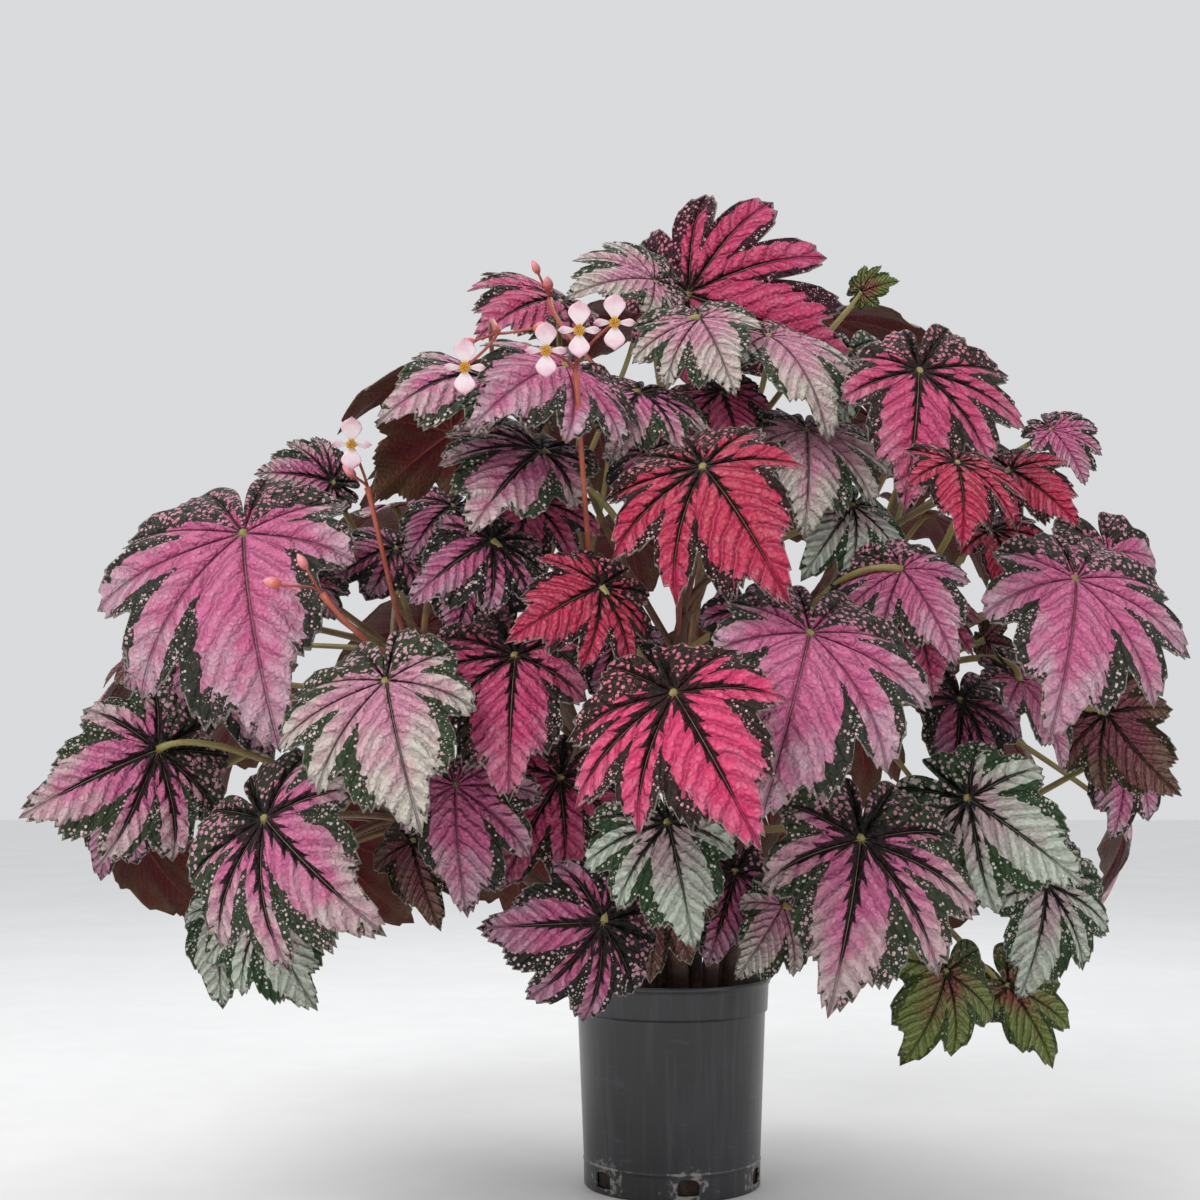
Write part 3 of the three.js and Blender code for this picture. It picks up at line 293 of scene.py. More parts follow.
class Look(Enum):
    """The kinds of leaf on the plant."""

    HOT = LeafColours(0xDC386E, 0xD46C92, 0x1B2217, 1.2, 0.85, 0.6, 0.25, 0.5, 0.7)
    CROWN = LeafColours(0xC43264, 0xD46090, 0x24121B, 0.55, 0.8, 0.6, 0.2, 0.9, 0.05)
    CRIMSON = LeafColours(0xBC244C, 0xC23E68, 0x1C1915, 0.85, 0.7, 0.5, 0.2, 0.7, 0.75)
    ROSE = LeafColours(0xC53E70, 0xCC7C98, 0x1D2419, 0.95, 0.85, 0.7, 0.35, 0.5, 0.5)
    ORCHID = LeafColours(0xCA6492, 0xC8B0B0, 0x24371F, 1.25, 1.1, 0.95, 0.5, 0.4, 0.4)
    LILAC = LeafColours(0xC85E8C, 0xC6A2B0, 0x1F2B1D, 0.14, 0.9, 0.8, 0.45, 0.45, 0.3)
    PEARL = LeafColours(0xCA869F, 0xC8C0B4, 0x26391F, 0.28, 0.95, 0.9, 0.6, 0.42, 0.4)
    SILVER = LeafColours(0xBC9CA2, 0xBEC6B6, 0x203C1C, 0.75, 1.15, 1.0, 0.8, 0.48, 0.4)
    PLUM = LeafColours(0xB4507C, 0xAA8A9A, 0x161D14, 1.5, 1.4, 1.0, 0.4, 0.35, 0.3)
    RUST = LeafColours(0x84404E, 0x7A5C48, 0x352F1C, 0.6, 0.9, 0.4, 0.5, 0.6, 0.5)
    OLIVE = LeafColours(0x8A4638, 0x76863E, 0x3A4C20, 0.5, 0.9, 0.3, 0.85, 0.6, 0.5)


class LeafRow(NamedTuple):
    """A leaf that shows from the front.

    Attributes:
        at: the pixel of its petiole point.
        tip: the pixel of its tip.
        lift: how far outside the dome it lies.
        dip: how much nearer than the petiole point its tip comes.
        turn: the turn of its face about its midrib, in degrees.
        side: the side that is broad, 1 or -1.
        look: its kind.
        face: how far it faces the viewer.
    """

    at: Pixel
    tip: Pixel
    lift: float
    dip: float
    turn: float
    side: int
    look: Look
    face: float = 0.9


FRONT_STEMS: dict[str, list[LeafRow]] = {
    "left_low": [
        LeafRow((128, 800), (98, 884), -70, 10, 0, 1, Look.PLUM),
        LeafRow((150, 650), (102, 690), -60, 0, 40, 1, Look.RUST),
        LeafRow((265, 905), (318, 1017), -30, 10, 0, -1, Look.SILVER),
        LeafRow((228, 905), (222, 1013), -50, 10, 0, 1, Look.SILVER),
        LeafRow((159, 749), (13, 818), 0, 20, -10, 1, Look.ORCHID),
        LeafRow((264, 818), (395, 938), 35, 25, 0, -1, Look.ORCHID),
        LeafRow((412, 842), (440, 932), -45, 10, 0, 1, Look.RUST),
    ],
    "left": [
        LeafRow((395, 548), (318, 590), -60, 30, 0, 1, Look.PLUM),
        LeafRow((218, 610), (268, 762), -45, 30, 0, -1, Look.PLUM),
        LeafRow((332, 482), (250, 474), -10, 20, 0, -1, Look.ORCHID),
        LeafRow((305, 582), (262, 668), 30, 30, 0, -1, Look.LILAC),
        LeafRow((243, 532), (275, 738), 20, 40, 0, -1, Look.LILAC, 1.7),
    ],
    "left_shoulder": [
        LeafRow((452, 506), (402, 566), -50, 25, 0, 1, Look.PLUM),
        LeafRow((492, 540), (410, 602), -20, 30, 0, 1, Look.PLUM),
        LeafRow((486, 378), (388, 420), 10, 60, 0, 1, Look.ORCHID, 0.6),
        LeafRow((452, 432), (372, 500), 0, 40, 130, 1, Look.RUST),
    ],
    "crown_left": [
        LeafRow((530, 500), (514, 597), -30, 20, 0, 1, Look.ROSE),
        LeafRow((560, 300), (468, 345), -10, 50, 0, -1, Look.ROSE),
        LeafRow((565, 365), (474, 425), 10, 60, 0, 1, Look.LILAC),
        LeafRow((542, 450), (466, 542), 45, 50, 0, -1, Look.ORCHID),
    ],
    "crown": [
        LeafRow((655, 280), (566, 300), 0, 20, 0, -1, Look.PEARL, 0.9),
        LeafRow((768, 335), (824, 444), 0, 40, -20, 1, Look.PEARL),
        LeafRow((700, 318), (738, 396), 20, 40, 0, -1, Look.PEARL),
        LeafRow((687, 294), (850, 366), -20, 10, 0, 1, Look.CROWN, 5),
        LeafRow((862, 292), (902, 280), -20, 10, 0, 1, Look.OLIVE, 1.5),
    ],
    "crown_right": [
        LeafRow((850, 350), (842, 432), -40, 30, 0, 1, Look.SILVER),
        LeafRow((1052, 430), (1086, 486), -30, 20, 0, 1, Look.LILAC, 1.2),
        LeafRow((1010, 470), (1085, 530), -10, 30, 0, -1, Look.CRIMSON, 1.2),
        LeafRow((919, 370), (905, 510), 20, 30, 0, 1, Look.ROSE, 1.4),
        LeafRow((956, 462), (958, 550), 40, 30, 0, 1, Look.CRIMSON),
    ],
    "upper_front": [
        LeafRow((652, 452), (636, 540), -50, 30, 0, 1, Look.PLUM),
        LeafRow((852, 505), (800, 580), -40, 20, 0, 1, Look.SILVER),
        LeafRow((806, 430), (800, 545), -20, 40, 0, 1, Look.PEARL),
        LeafRow((722, 392), (742, 470), -20, 30, 0, -1, Look.ROSE),
        LeafRow((640, 392), (612, 470), -10, 40, 0, 1, Look.ORCHID),
        LeafRow((703, 466), (794, 604), 40, 40, 0, -1, Look.CRIMSON, 1.2),
    ],
    "right": [
        LeafRow((1108, 552), (1132, 672), -40, 0, 0, -1, Look.LILAC),
        LeafRow((992, 530), (1014, 620), -20, 20, 0, 1, Look.CRIMSON),
        LeafRow((1106, 712), (1182, 800), -30, 0, 50, -1, Look.RUST),
        LeafRow((1019, 680), (1062, 775), -20, 10, -30, 1, Look.LILAC),
        LeafRow((1076, 578), (1052, 739), 30, 30, 0, 1, Look.LILAC, 1.5),
    ],
    "right_low": [
        LeafRow((1122, 752), (1110, 845), -40, 0, 0, 1, Look.LILAC),
        LeafRow((1008, 986), (1054, 1072), -40, 0, 0, 1, Look.OLIVE),
        LeafRow((946, 972), (896, 1068), -60, 0, 0, 1, Look.OLIVE),
        LeafRow((1046, 883), (1016, 1005), -10, 0, 0, 1, Look.SILVER),
        LeafRow((968, 798), (1090, 888), 30, 0, 0, -1, Look.SILVER, 1.3),
    ],
    "front_right": [
        LeafRow((985, 640), (1018, 668), -60, 10, 60, 1, Look.RUST),
        LeafRow((960, 700), (945, 800), -60, 10, 0, 1, Look.PLUM),
        LeafRow((905, 600), (930, 702), -30, 20, 0, 1, Look.ROSE),
        LeafRow((902, 569), (960, 670), 20, 30, 0, -1, Look.LILAC),
        LeafRow((810, 632), (767, 818), 40, 40, 0, 1, Look.LILAC),
    ],
    "front_low": [
        LeafRow((735, 872), (708, 972), -60, 10, 0, -1, Look.PLUM),
        LeafRow((655, 890), (648, 985), -60, 10, 0, 1, Look.RUST),
        LeafRow((783, 905), (737, 982), -30, 10, 0, 1, Look.PEARL),
        LeafRow((604, 922), (474, 932), 0, 0, 0, 1, Look.PLUM, 1.6),
        LeafRow((861, 839), (829, 1028), 40, 20, 0, 1, Look.ORCHID, 1.2),
        LeafRow((668, 822), (695, 956), 10, 10, 0, -1, Look.SILVER),
    ],
    "front": [
        LeafRow((745, 610), (750, 700), -50, 20, 0, 1, Look.PLUM),
        LeafRow((480, 572), (452, 660), -50, 20, 0, 1, Look.PLUM),
        LeafRow((560, 778), (500, 896), -50, 10, 0, 1, Look.ROSE),
        LeafRow((620, 640), (640, 720), -60, 20, 0, -1, Look.PLUM),
        LeafRow((515, 655), (509, 810), -10, 30, 0, -1, Look.ROSE),
        LeafRow((455, 785), (470, 918), -20, 10, 0, 1, Look.LILAC),
        LeafRow((386, 680), (420, 845), 50, 40, 0, -1, Look.PEARL),
        LeafRow((601, 586), (497, 645), 30, 30, 0, 1, Look.CRIMSON),
        LeafRow((674, 692), (769, 856), 60, 40, 0, -1, Look.HOT, 1.2),
    ],
}


class SprayRow(NamedTuple):
    """A flower spray: its stem, where it forks and how far outside the dome, its flowers and its buds."""

    stem: str
    fork: Pixel
    lift: float
    flowers: list[Pixel]
    buds: list[Pixel]


SPRAYS = [
    SprayRow("crown_left", (576, 374), 70, [(548, 352), (612, 326), (579, 333)], []),
    SprayRow("left_shoulder", (497, 332), 190, [(466, 366)], [(468, 343), (540, 328)]),
    SprayRow("crown", (550, 300), 0, [], [(536, 268), (548, 284)]),
    SprayRow("upper_front", (678, 476), 60, [], [(684, 494), (675, 514), (690, 514), (685, 538)]),
    SprayRow("left", (368, 488), 20, [(352, 446)], [(350, 472)]),
    SprayRow("left", (322, 594), 20, [], [(303, 563), (274, 583)]),
]


class PetalCut(NamedTuple):
    """A petal: its turn about the flower's middle, half the angle that it takes up, and its length."""

    turn: float
    half: float
    length: float


PETALS = (
    PetalCut(0.0, math.radians(17), 14.0),
    PetalCut(math.radians(90), math.radians(38), 19.0),
    PetalCut(math.radians(180), math.radians(17), 14.0),
    PetalCut(math.radians(270), math.radians(38), 18.0),
)


class Tier(NamedTuple):
    """A tier of the leaves behind: its height and turn in degrees, its lift outside the dome, its midrib."""

    height: float
    turn: float
    lift: float
    length: float


BACK_BEARINGS = (92, 126, 160, 200, 234, 268)
BACK_TIERS = (
    Tier(8, 14, -70, 105),
    Tier(42, -12, -60, 105),
    Tier(-22, -8, -25, 125),
    Tier(18, 10, -12, 140),
    Tier(50, 6, -15, 130),
)
CROWN_TIER = Tier(70, 0, 0, 130)
BACK_LOOKS = (Look.PLUM, Look.SILVER, Look.ORCHID, Look.ROSE, Look.LILAC, Look.PEARL, Look.HOT)
BACK_SEED = 4021
HIDDEN_LIFT = -40.0
SINUS_REACH = 0.05


class Lobing(NamedTuple):
    """A leaf's lobes: their angles, their lengths as shares of the midrib, and whose main vein each is on."""

    angles: Array
    shares: Array
    owners: Faces


MANY_LOBES = Lobing(
    np.radians(vec(-168, -110, -59, -19, 0, 21, 43, 78, 112, 157)),
    vec(0.46, 0.48, 0.58, 0.74, 1.0, 0.88, 0.84, 0.77, 0.65, 0.54),
    np.array([0, 1, 2, 4, 4, 4, 6, 7, 8, 9]),
)
FEW_LOBES = Lobing(
    np.radians(vec(-160, -78, -24, 0, 32, 80, 142)),
    vec(0.44, 0.54, 0.74, 1.0, 0.86, 0.76, 0.56),
    np.array([0, 1, 3, 3, 4, 5, 6]),
)


class Outline(NamedTuple):
    """The coarse outline of a blade: polar places, how near the edge and a notch each is, and its facets."""

    angle: Array
    reach: Array
    edge: Array
    between: Array
    facets: Faces


@lru_cache
def coarse_outline(plain: bool, notch_depth: float = 0.15, ring_share: float = 0.52) -> Outline:
    """The outline that a blade is kept clear of its neighbours by.

    It holds the middle, the sinus, the tips with the notches between them, and on a leaf that isn't plain a
    ring across the veins. The facets are a fan round the middle and a strip outside the ring.

    Args:
        plain: whether the leaf has the fewer lobes and no ring.
        notch_depth: how deep the notches are, as a share of the mean length of the lobes beside them.
        ring_share: where the ring lies along each vein.

    Returns:
        The outline, with its broad side at positive angles.
    """
    lobes, shares, _ = FEW_LOBES if plain else MANY_LOBES
    count, edge_count = len(lobes), 2 * len(lobes) - 1
    angle, reach = np.empty(edge_count), np.empty(edge_count)
    angle[0::2], reach[0::2] = lobes, shares
    angle[1::2] = (lobes[1:] + lobes[:-1]) / 2
    reach[1::2] = (shares[1:] + shares[:-1]) / 2 * (1 - notch_depth)
    ring = np.zeros(0) if plain else lobes
    outline = (
        np.concatenate([[0.0, math.pi], angle, ring]),
        np.concatenate([[0.0, SINUS_REACH], reach, ring * 0 if plain else shares * ring_share]),
        np.concatenate([[0.0, 0.0], np.ones(edge_count), ring * 0 + ring_share]),
        np.concatenate([[0.0, 0.0], np.arange(edge_count) % 2, ring * 0]),
    )
    outer = np.arange(2, 2 * count + 1)
    inner = outer if plain else np.arange(2 * count + 1, 3 * count + 1)
    loop = np.append(inner, 1)
    fan = np.stack([0 * loop, loop, np.roll(loop, -1)], axis=1)
    if plain:
        return Outline(*outline, fan)
    tip, notch, far, near, after = outer[:-2:2], outer[1::2], outer[2::2], inner[:-1], inner[1:]
    strips = (near, tip, notch), (near, notch, after), (after, notch, far)
    return Outline(*outline, np.concatenate([fan, *(np.stack(strip, axis=1) for strip in strips)]))


@dataclass
class Blade:
    """A leaf's blade: where it lies, how it droops and waves, and its colours.

    Attributes:
        at: its petiole point.
        along: the way that the midrib starts.
        across: the way across the midrib, towards the side of the positive angles.
        normal: the way that the blade faces at its petiole point.
        size: the length of the midrib along its arc.
        side: the side that is broad, 1 or -1.
        lift: how far outside the dome it was put.
        front: whether it was placed from the front.
        look: its kind.
        droop: how far the midrib bends from end to end, in radians.
        wave: the height of the waves round its edge, as a share of the midrib.
        phase: where those waves start, in radians.
        facets: the triangles of its coarse surface.
        points: points spread over them.
        petiole: the control points of its petiole.
    """

    at: Array
    along: Array
    across: Array
    normal: Array
    size: float
    side: int
    lift: float
    front: bool
    look: Look
    droop: float
    wave: float
    phase: float
    facets: Array = field(init=False)
    points: Array = field(init=False)
    petiole: Array = field(init=False)

    def __post_init__(self) -> None:
        """Works out the coarse surface: its facets, and points spread over them."""
        outline = coarse_outline(self.plain)
        middle = self.surface(outline.angle * self.side, outline.reach, outline.edge, outline.between)
        self.facets = middle[outline.facets]
        ahead = np.roll(self.facets, -1, axis=1)
        thirds = [(self.facets + (ahead - self.facets) * share).reshape(-1, 3) for share in (0.33, 0.67)]
        self.points = np.concatenate([middle, self.facets.mean(axis=1), *thirds])

    @property
    def plain(self) -> bool:
        """Whether the blade has the fewer lobes of a hidden or back leaf."""
        return not self.front or self.lift <= HIDDEN_LIFT

    @property
    def lobing(self) -> Lobing:
        """The blade's lobes."""
        return FEW_LOBES if self.plain else MANY_LOBES

    @property
    def ball(self) -> tuple[Array, float]:
        """The middle and the radius of a ball about the blade."""
        low, high = self.facets.min(axis=(0, 1)), self.facets.max(axis=(0, 1))
        return (low + high) / 2, float(np.linalg.norm(high - low)) / 2

    def surface(
        self, angle: Array, reach: Array, edge: Array, between: Array, relief: Array | float = 0.0
    ) -> Array:
        """Points of the blade.

        Each radius bends down as an arc, whose curvature is greatest at the midrib and least at the sinus.
        The edge rises between the lobes, and waves twice and three times round the blade.

        Args:
            angle: angles from the midrib, in radians.
            reach: distances from the petiole point, as shares of the midrib.
            edge: how near the edge each point is, from 0 to 1.
            between: how near a notch it is, from 0 on a vein to 1.
            relief: its height above this surface, as a share of the midrib.

        Returns:
            The points, one for each angle.
        """
        bend = self.droop * (0.6 + 0.4 * np.cos(angle))
        out = np.sin(bend * reach) / bend
        sway = self.wave * (np.sin(2 * angle + self.phase) + 0.7 * np.sin(3 * angle + 2.3 * self.phase))
        height = -(1 - np.cos(bend * reach)) / bend + edge * edge * (0.05 * (between - 0.4) + sway) + relief
        flat = (out * np.cos(angle))[..., None] * self.along + (out * np.sin(angle))[..., None] * self.across
        return self.at + self.size * (flat + height[..., None] * self.normal)

    def shift(self, step: Array) -> None:
        """Moves the whole blade by a step."""
        self.at, self.points, self.facets = self.at + step, self.points + step, self.facets + step

    def near(self, points: Array, clear: float) -> Truths:
        """Which points lie nearer than a distance to the blade.

        Args:
            points: the points, of shape (points, 3).
            clear: the distance.

        Returns:
            One truth value for each point.
        """
        centre, radius = self.ball
        close = ((points - centre) ** 2).sum(axis=1) < (radius + clear) ** 2
        if close.any():
            close[close] = gaps_squared(self.facets, points[close]) < clear * clear
        return close


@dataclass
class Spray:
    """A flower spray: its fork, its flowers and buds, the way that it faces, and its stalk's curve."""

    fork: Array
    flowers: Array
    buds: Array
    facing: Array
    stalk: Array = field(init=False)


@dataclass
class Stem:
    """A leafy stem: its name, its blades, its foot in the soil, its curve and its sprays."""

    name: str
    blades: list[Blade]
    foot: Array = field(init=False)
    curve: Array = field(init=False)
    sprays: list[Spray] = field(default_factory=list)

    @property
    def middle(self) -> Array:
        """The middle of its blades' petiole points."""
        return np.mean([blade.at for blade in self.blades], axis=0)

    def wood(self, steps: int = 5) -> Array:
        """Points along the straight runs of its solid."""
        return along_runs(cubic(self.curve, np.linspace(0, 1, steps + 1))[None])[0]


@dataclass
class Growth:
    """The rule by which the plant grows: where leaves are put, how they are laid clear and how petioles run.

    Attributes:
        view: the view that the front leaves are placed from.
        dome: the dome that the foliage follows.
        core: the middle of the plant, which the leaves face away from.
        face_outward: how strongly they face away from it.
        face_upward: how strongly they face up.
        blade_clearance: how far apart blades are laid.
        petiole_clearance: how far petioles keep from blades and from each other.
        stem_clearance: the gap that they leave to stems, and how much further sprays keep from blades.
        pot_clearance: how far they keep from the pot.
        pot_height: the level of the pot's rim.
        rim_radius: its radius.
        soil_depth: how far under the rim the soil lies.
        petiole_radius: the radius of a petiole's solid.
        stem_foot_radius: the radius of a stem's solid at its foot.
        stem_head_radius: the same at its head.
        petiole_steps: how many straight runs a petiole's solid has.
        stalk_steps: how many a stalk's solid has.
        stem_upright: how far a stem rises before it bends over.
        stem_reach: how far it reaches from the core to the middle of its leaves, as a share.
        lay_step: how far a blade or a spray moves at a time.
        rings: how many stems stand in each ring in the soil, and its radius.
        shares: the places on a stem that a petiole may leave it at.
        bow_sizes: how far a petiole may bow aside.
        bow_ways: how many ways it may bow.
        own_leaf_cost: what coming near a leaf of the same stem counts, beside 1 for any other neighbour.
        detour_cost: what a millimetre of length or of bow counts.
        stalk_arrival: how far below and behind its fork a stalk comes in.
        tip_lift: how much further outside the dome the place lies that a leaf behind hangs towards.
        tip_sway: how wide the draws are that carry that place aside.
        flower_lift: how much nearer than its fork a spray's first flower lies.
        flower_step: how much nearer each next one lies.
        bud_lift: how much nearer than the fork the buds lie.
        stems: the stems of the plant.
    """

    view: ReferenceView = ReferenceView()
    dome: FoliageDome = FoliageDome()
    core: tuple[float, float, float] = (-40.0, 0.0, 290.0)
    face_outward: float = 0.6
    face_upward: float = 0.15
    blade_clearance: float = 7.0
    petiole_clearance: float = 8.0
    stem_clearance: float = 3.0
    pot_clearance: float = 8.0
    pot_height: float = 170.0
    rim_radius: float = 84.0
    soil_depth: float = 22.0
    petiole_radius: float = 2.6
    stem_foot_radius: float = 7.0
    stem_head_radius: float = 4.0
    petiole_steps: int = 3
    stalk_steps: int = 5
    stem_upright: float = 60.0
    stem_reach: float = 0.6
    lay_step: float = 4.0
    rings: tuple[tuple[int, float], ...] = ((6, 22.0), (12, 50.0))
    shares: tuple[float, ...] = (1, 0.85, 0.7, 0.55, 0.4, 0.25)
    bow_sizes: tuple[float, ...] = (25, 50, 75, 100, 130)
    bow_ways: int = 8
    own_leaf_cost: float = 0.3
    detour_cost: float = 0.003
    stalk_arrival: float = 25.0
    tip_lift: float = 22.0
    tip_sway: float = 70.0
    flower_lift: float = 26.0
    flower_step: float = 12.0
    bud_lift: float = 8.0
    stems: list[Stem] = field(default_factory=list)

    def grow(self) -> list[Stem]:
        """Grows the plant: puts the leaves, plants the stems, lays the leaves and routes the petioles.

        Returns:
            The stems, with their blades and sprays.
        """
        draw = Draw(BACK_SEED)
        for name, rows in FRONT_STEMS.items():
            self.stems.append(Stem("stem_" + name, [self.front_blade(row, draw) for row in rows]))
        for i, bearing in enumerate(BACK_BEARINGS):
            tiers = BACK_TIERS if i % 2 else (*BACK_TIERS, CROWN_TIER)
            looks = [BACK_LOOKS[(3 * i + k) % len(BACK_LOOKS)] for k in range(len(tiers))]
            blades = [self.back_blade(tier, bearing, look, draw) for tier, look in zip(tiers, looks)]
            self.stems.append(Stem(f"stem_back_{i + 1}", blades))
        self.plant_feet()
        for stem in self.stems:
            stem.curve = self.stem_curve(stem)
        self.lay_blades()
        self.grow_sprays(self.route_petioles())
        return self.stems

    def facing(self, at: Array, towards_eye: float) -> Array:
        """The way a leaf faces: outwards, a little up, and towards the viewer as strongly as is said."""
        outward = unit(at - vec(*self.core)) * self.face_outward
        return unit(outward + unit(self.view.eye - at) * towards_eye + vec(0, 0, self.face_upward))

    def front_blade(self, row: LeafRow, draw: Draw) -> Blade:
        """A front blade from its row, before it is laid.

        Args:
            row: the leaf's row.
            draw: the plant's draws.

        Returns:
            The blade.
        """
        forward = self.dome.forward(self.view, row.at) + row.lift
        at = self.view.seen(row.at, forward)
        tip = self.view.seen(row.tip, forward + row.dip)
        kind = (row.side, row.lift, True, row.look)
        return self.blade(at, tip, self.facing(at, row.face), row.turn, kind, draw)

    def back_blade(self, tier: Tier, bearing: float, look: Look, draw: Draw) -> Blade:
        """A blade behind, before it is laid: its tip hangs down the dome's meridian from its petiole point.

        Args:
            tier: the tier that it belongs to.
            bearing: the stem's bearing, in degrees.
            look: its kind.
            draw: the plant's draws.

        Returns:
            The blade.
        """
        azimuth = math.radians(bearing + tier.turn + draw.about(10))
        height = math.radians(tier.height + draw.about(10))
        at = self.dome.behind(azimuth, height, tier.lift)
        below = self.dome.behind(azimuth, height - 0.3, tier.lift + self.tip_lift)
        below = below + vec(math.cos(azimuth), math.sin(azimuth), 0) * draw.about(self.tip_sway)
        tip = at + unit(below - at) * tier.length * (1 + draw.about(0.2))
        side = -1 if draw() < 0.5 else 1
        kind = (side, tier.lift, False, look)
        return self.blade(at, tip, self.facing(at, 0.0), draw.about(16), kind, draw)

    def blade(
        self,
        at: Array,
        tip: Array,
        facing: Array,
        turn: float,
        kind: tuple[int, float, bool, Look],
        draw: Draw,
    ) -> Blade:
        """A blade from its petiole point, its tip and the way that it faces.

        The midrib is an arc, so it starts turned up from the straight line to the tip by half the droop.

        Args:
            at: the petiole point.
            tip: the tip.
            facing: the way that it faces.
            turn: the turn of its face about that line, in degrees.
            kind: its broad side, its lift, whether it is in front, and its look.
            draw: the plant's draws.

        Returns:
            The blade.
        """
        droop, wave, phase = 0.75 + 0.4 * draw(), 0.018 + 0.02 * draw(), 2 * math.pi * draw()
        length = float(np.linalg.norm(tip - at))
        line = (tip - at) / length
        face = turned(unit(facing - line * (facing @ line)), line, math.radians(turn))
        half = droop / 2
        along = line * math.cos(half) + face * math.sin(half)
        normal = face * math.cos(half) - line * math.sin(half)
        size = length * half / math.sin(half)
        return Blade(at, along, np.cross(normal, along), normal, size, *kind, droop, wave, phase)

    def plant_feet(self) -> None:
        """Stands the steepest stems in the inner ring and the others in the outer, in order of bearing."""

        def steepness(stem: Stem) -> float:
            """How steeply a stem has to rise to its leaves."""
            return stem.middle[2] - 0.9 * math.hypot(stem.middle[0] - self.core[0], stem.middle[1])

        def bearing(stem: Stem) -> float:
            """The bearing of a stem's leaves from straight forward."""
            return math.atan2(stem.middle[0] - self.core[0], -stem.middle[1])

        queue = sorted(self.stems, key=steepness, reverse=True)
        for count, radius in self.rings:
            ring, queue = sorted(queue[:count], key=bearing), queue[count:]
            pitch = 2 * math.pi / count
            start = sum(bearing(stem) - pitch * k for k, stem in enumerate(ring)) / len(ring)
            for k, stem in enumerate(ring):
                turn = start + pitch * k
                stem.foot = vec(radius * math.sin(turn), -radius * math.cos(turn), 0)

    def stem_curve(self, stem: Stem) -> Array:
        """The curve of a stem: straight up out of the soil, then over towards its leaves.

        Args:
            stem: the stem.

        Returns:
            Its control points.
        """
        core = vec(*self.core)
        head = core + (stem.middle - core) * self.stem_reach
        mouth = stem.foot + vec(0, 0, self.pot_height - self.soil_depth + self.pot_clearance)
        return np.stack([mouth, mouth + vec(0, 0, self.stem_upright), head + (core - head) * 0.3, head])

    def lay_blades(self, most_steps: int = 45) -> None:
        """Lays every blade in turn, the inmost first, just clear of those already laid.

        A front blade moves towards the viewer, so that it keeps its place in the view, and a back one
        straight out of the plant.

        Args:
            most_steps: how many steps a blade may move.
        """
        woods = np.concatenate([stem.wood() for stem in self.stems])
        laid: list[Blade] = []
        for blade in sorted((b for stem in self.stems for b in stem.blades), key=lambda b: b.lift):
            away = self.view.eye - blade.at if blade.front else blade.at - vec(*self.core)
            step = unit(away) * self.lay_step
            for _ in range(most_steps):
                if not self.blocked(blade, laid, woods):
                    break
                blade.shift(step)
            laid.append(blade)

    def blocked(self, blade: Blade, laid: list[Blade], woods: Array) -> bool:
        """Whether a blade is too near a stem, or a blade already laid.

        Args:
            blade: the blade.
            laid: the blades already laid.
            woods: points along the stems.

        Returns:
            Whether it has to move on.
        """
        clear = self.blade_clearance
        centre, radius = blade.ball
        balls = [other.ball for other in laid]
        gaps = [float(np.linalg.norm(centre - middle)) - radius - size for middle, size in balls]
        others = [other for other, gap in zip(laid, gaps) if gap <= clear]
        if blade.near(woods, 2 * self.stem_head_radius).any():
            return True
        if not others:
            return False
        if blade.near(np.concatenate([other.points for other in others]), clear).any():
            return True
        facets = np.concatenate([other.facets for other in others])
        return bool((gaps_squared(facets, blade.points) < clear * clear).any())

    def bows(self, along: Array, across: Array) -> tuple[Array, Array]:
        """Every sideways bow that a route may take: none, then even turns round an axis in several sizes.

        Args:
            along: the axis, a unit vector.
            across: the first way aside, a unit vector.

        Returns:
            The bows and their sizes.
        """
        turns = 2 * math.pi * np.arange(self.bow_ways)[:, None] / self.bow_ways
        round_axis = turned(across, along, turns)
        sizes = np.concatenate([[0.0], np.repeat(np.array(self.bow_sizes, dtype=float), self.bow_ways)])
        ways = np.concatenate([round_axis[:1], np.tile(round_axis, (len(self.bow_sizes), 1))])
        return ways * sizes[:, None], sizes

    def routes(
        self,
        stem: Stem,
        end: Array,
        late: Array,
        axes: Callable[[Array], tuple[Array, Array]],
        early_bow: float,
    ) -> tuple[Array, Array]:
        """Every route from a stem to an end: it leaves the stem upwards and comes in by a late point.

        Args:
            stem: the stem.
            end: where it ends.
            late: the last control point before the end, where it doesn't bow.
            axes: gives the axis that it bows about and the first way aside, from its root.
            early_bow: how much of its bow the first control point takes.

        Returns:
            Control points of every route, and the size of each one's bow.
        """
        curves, all_sizes = [], []
        for share in self.shares:
            root = cubic(stem.curve, vec(share))[0]
            bows, sizes = self.bows(*axes(root))
            rise = heading(stem.curve, share) * 0.3 * float(np.linalg.norm(root - end))
            early = root + rise + bows * early_bow
            spots = (root, early, late + bows, end)
            curves.append(np.stack([np.broadcast_to(spot, bows.shape) for spot in spots], axis=1))
            all_sizes.append(sizes)
        return np.concatenate(curves), np.concatenate(all_sizes)

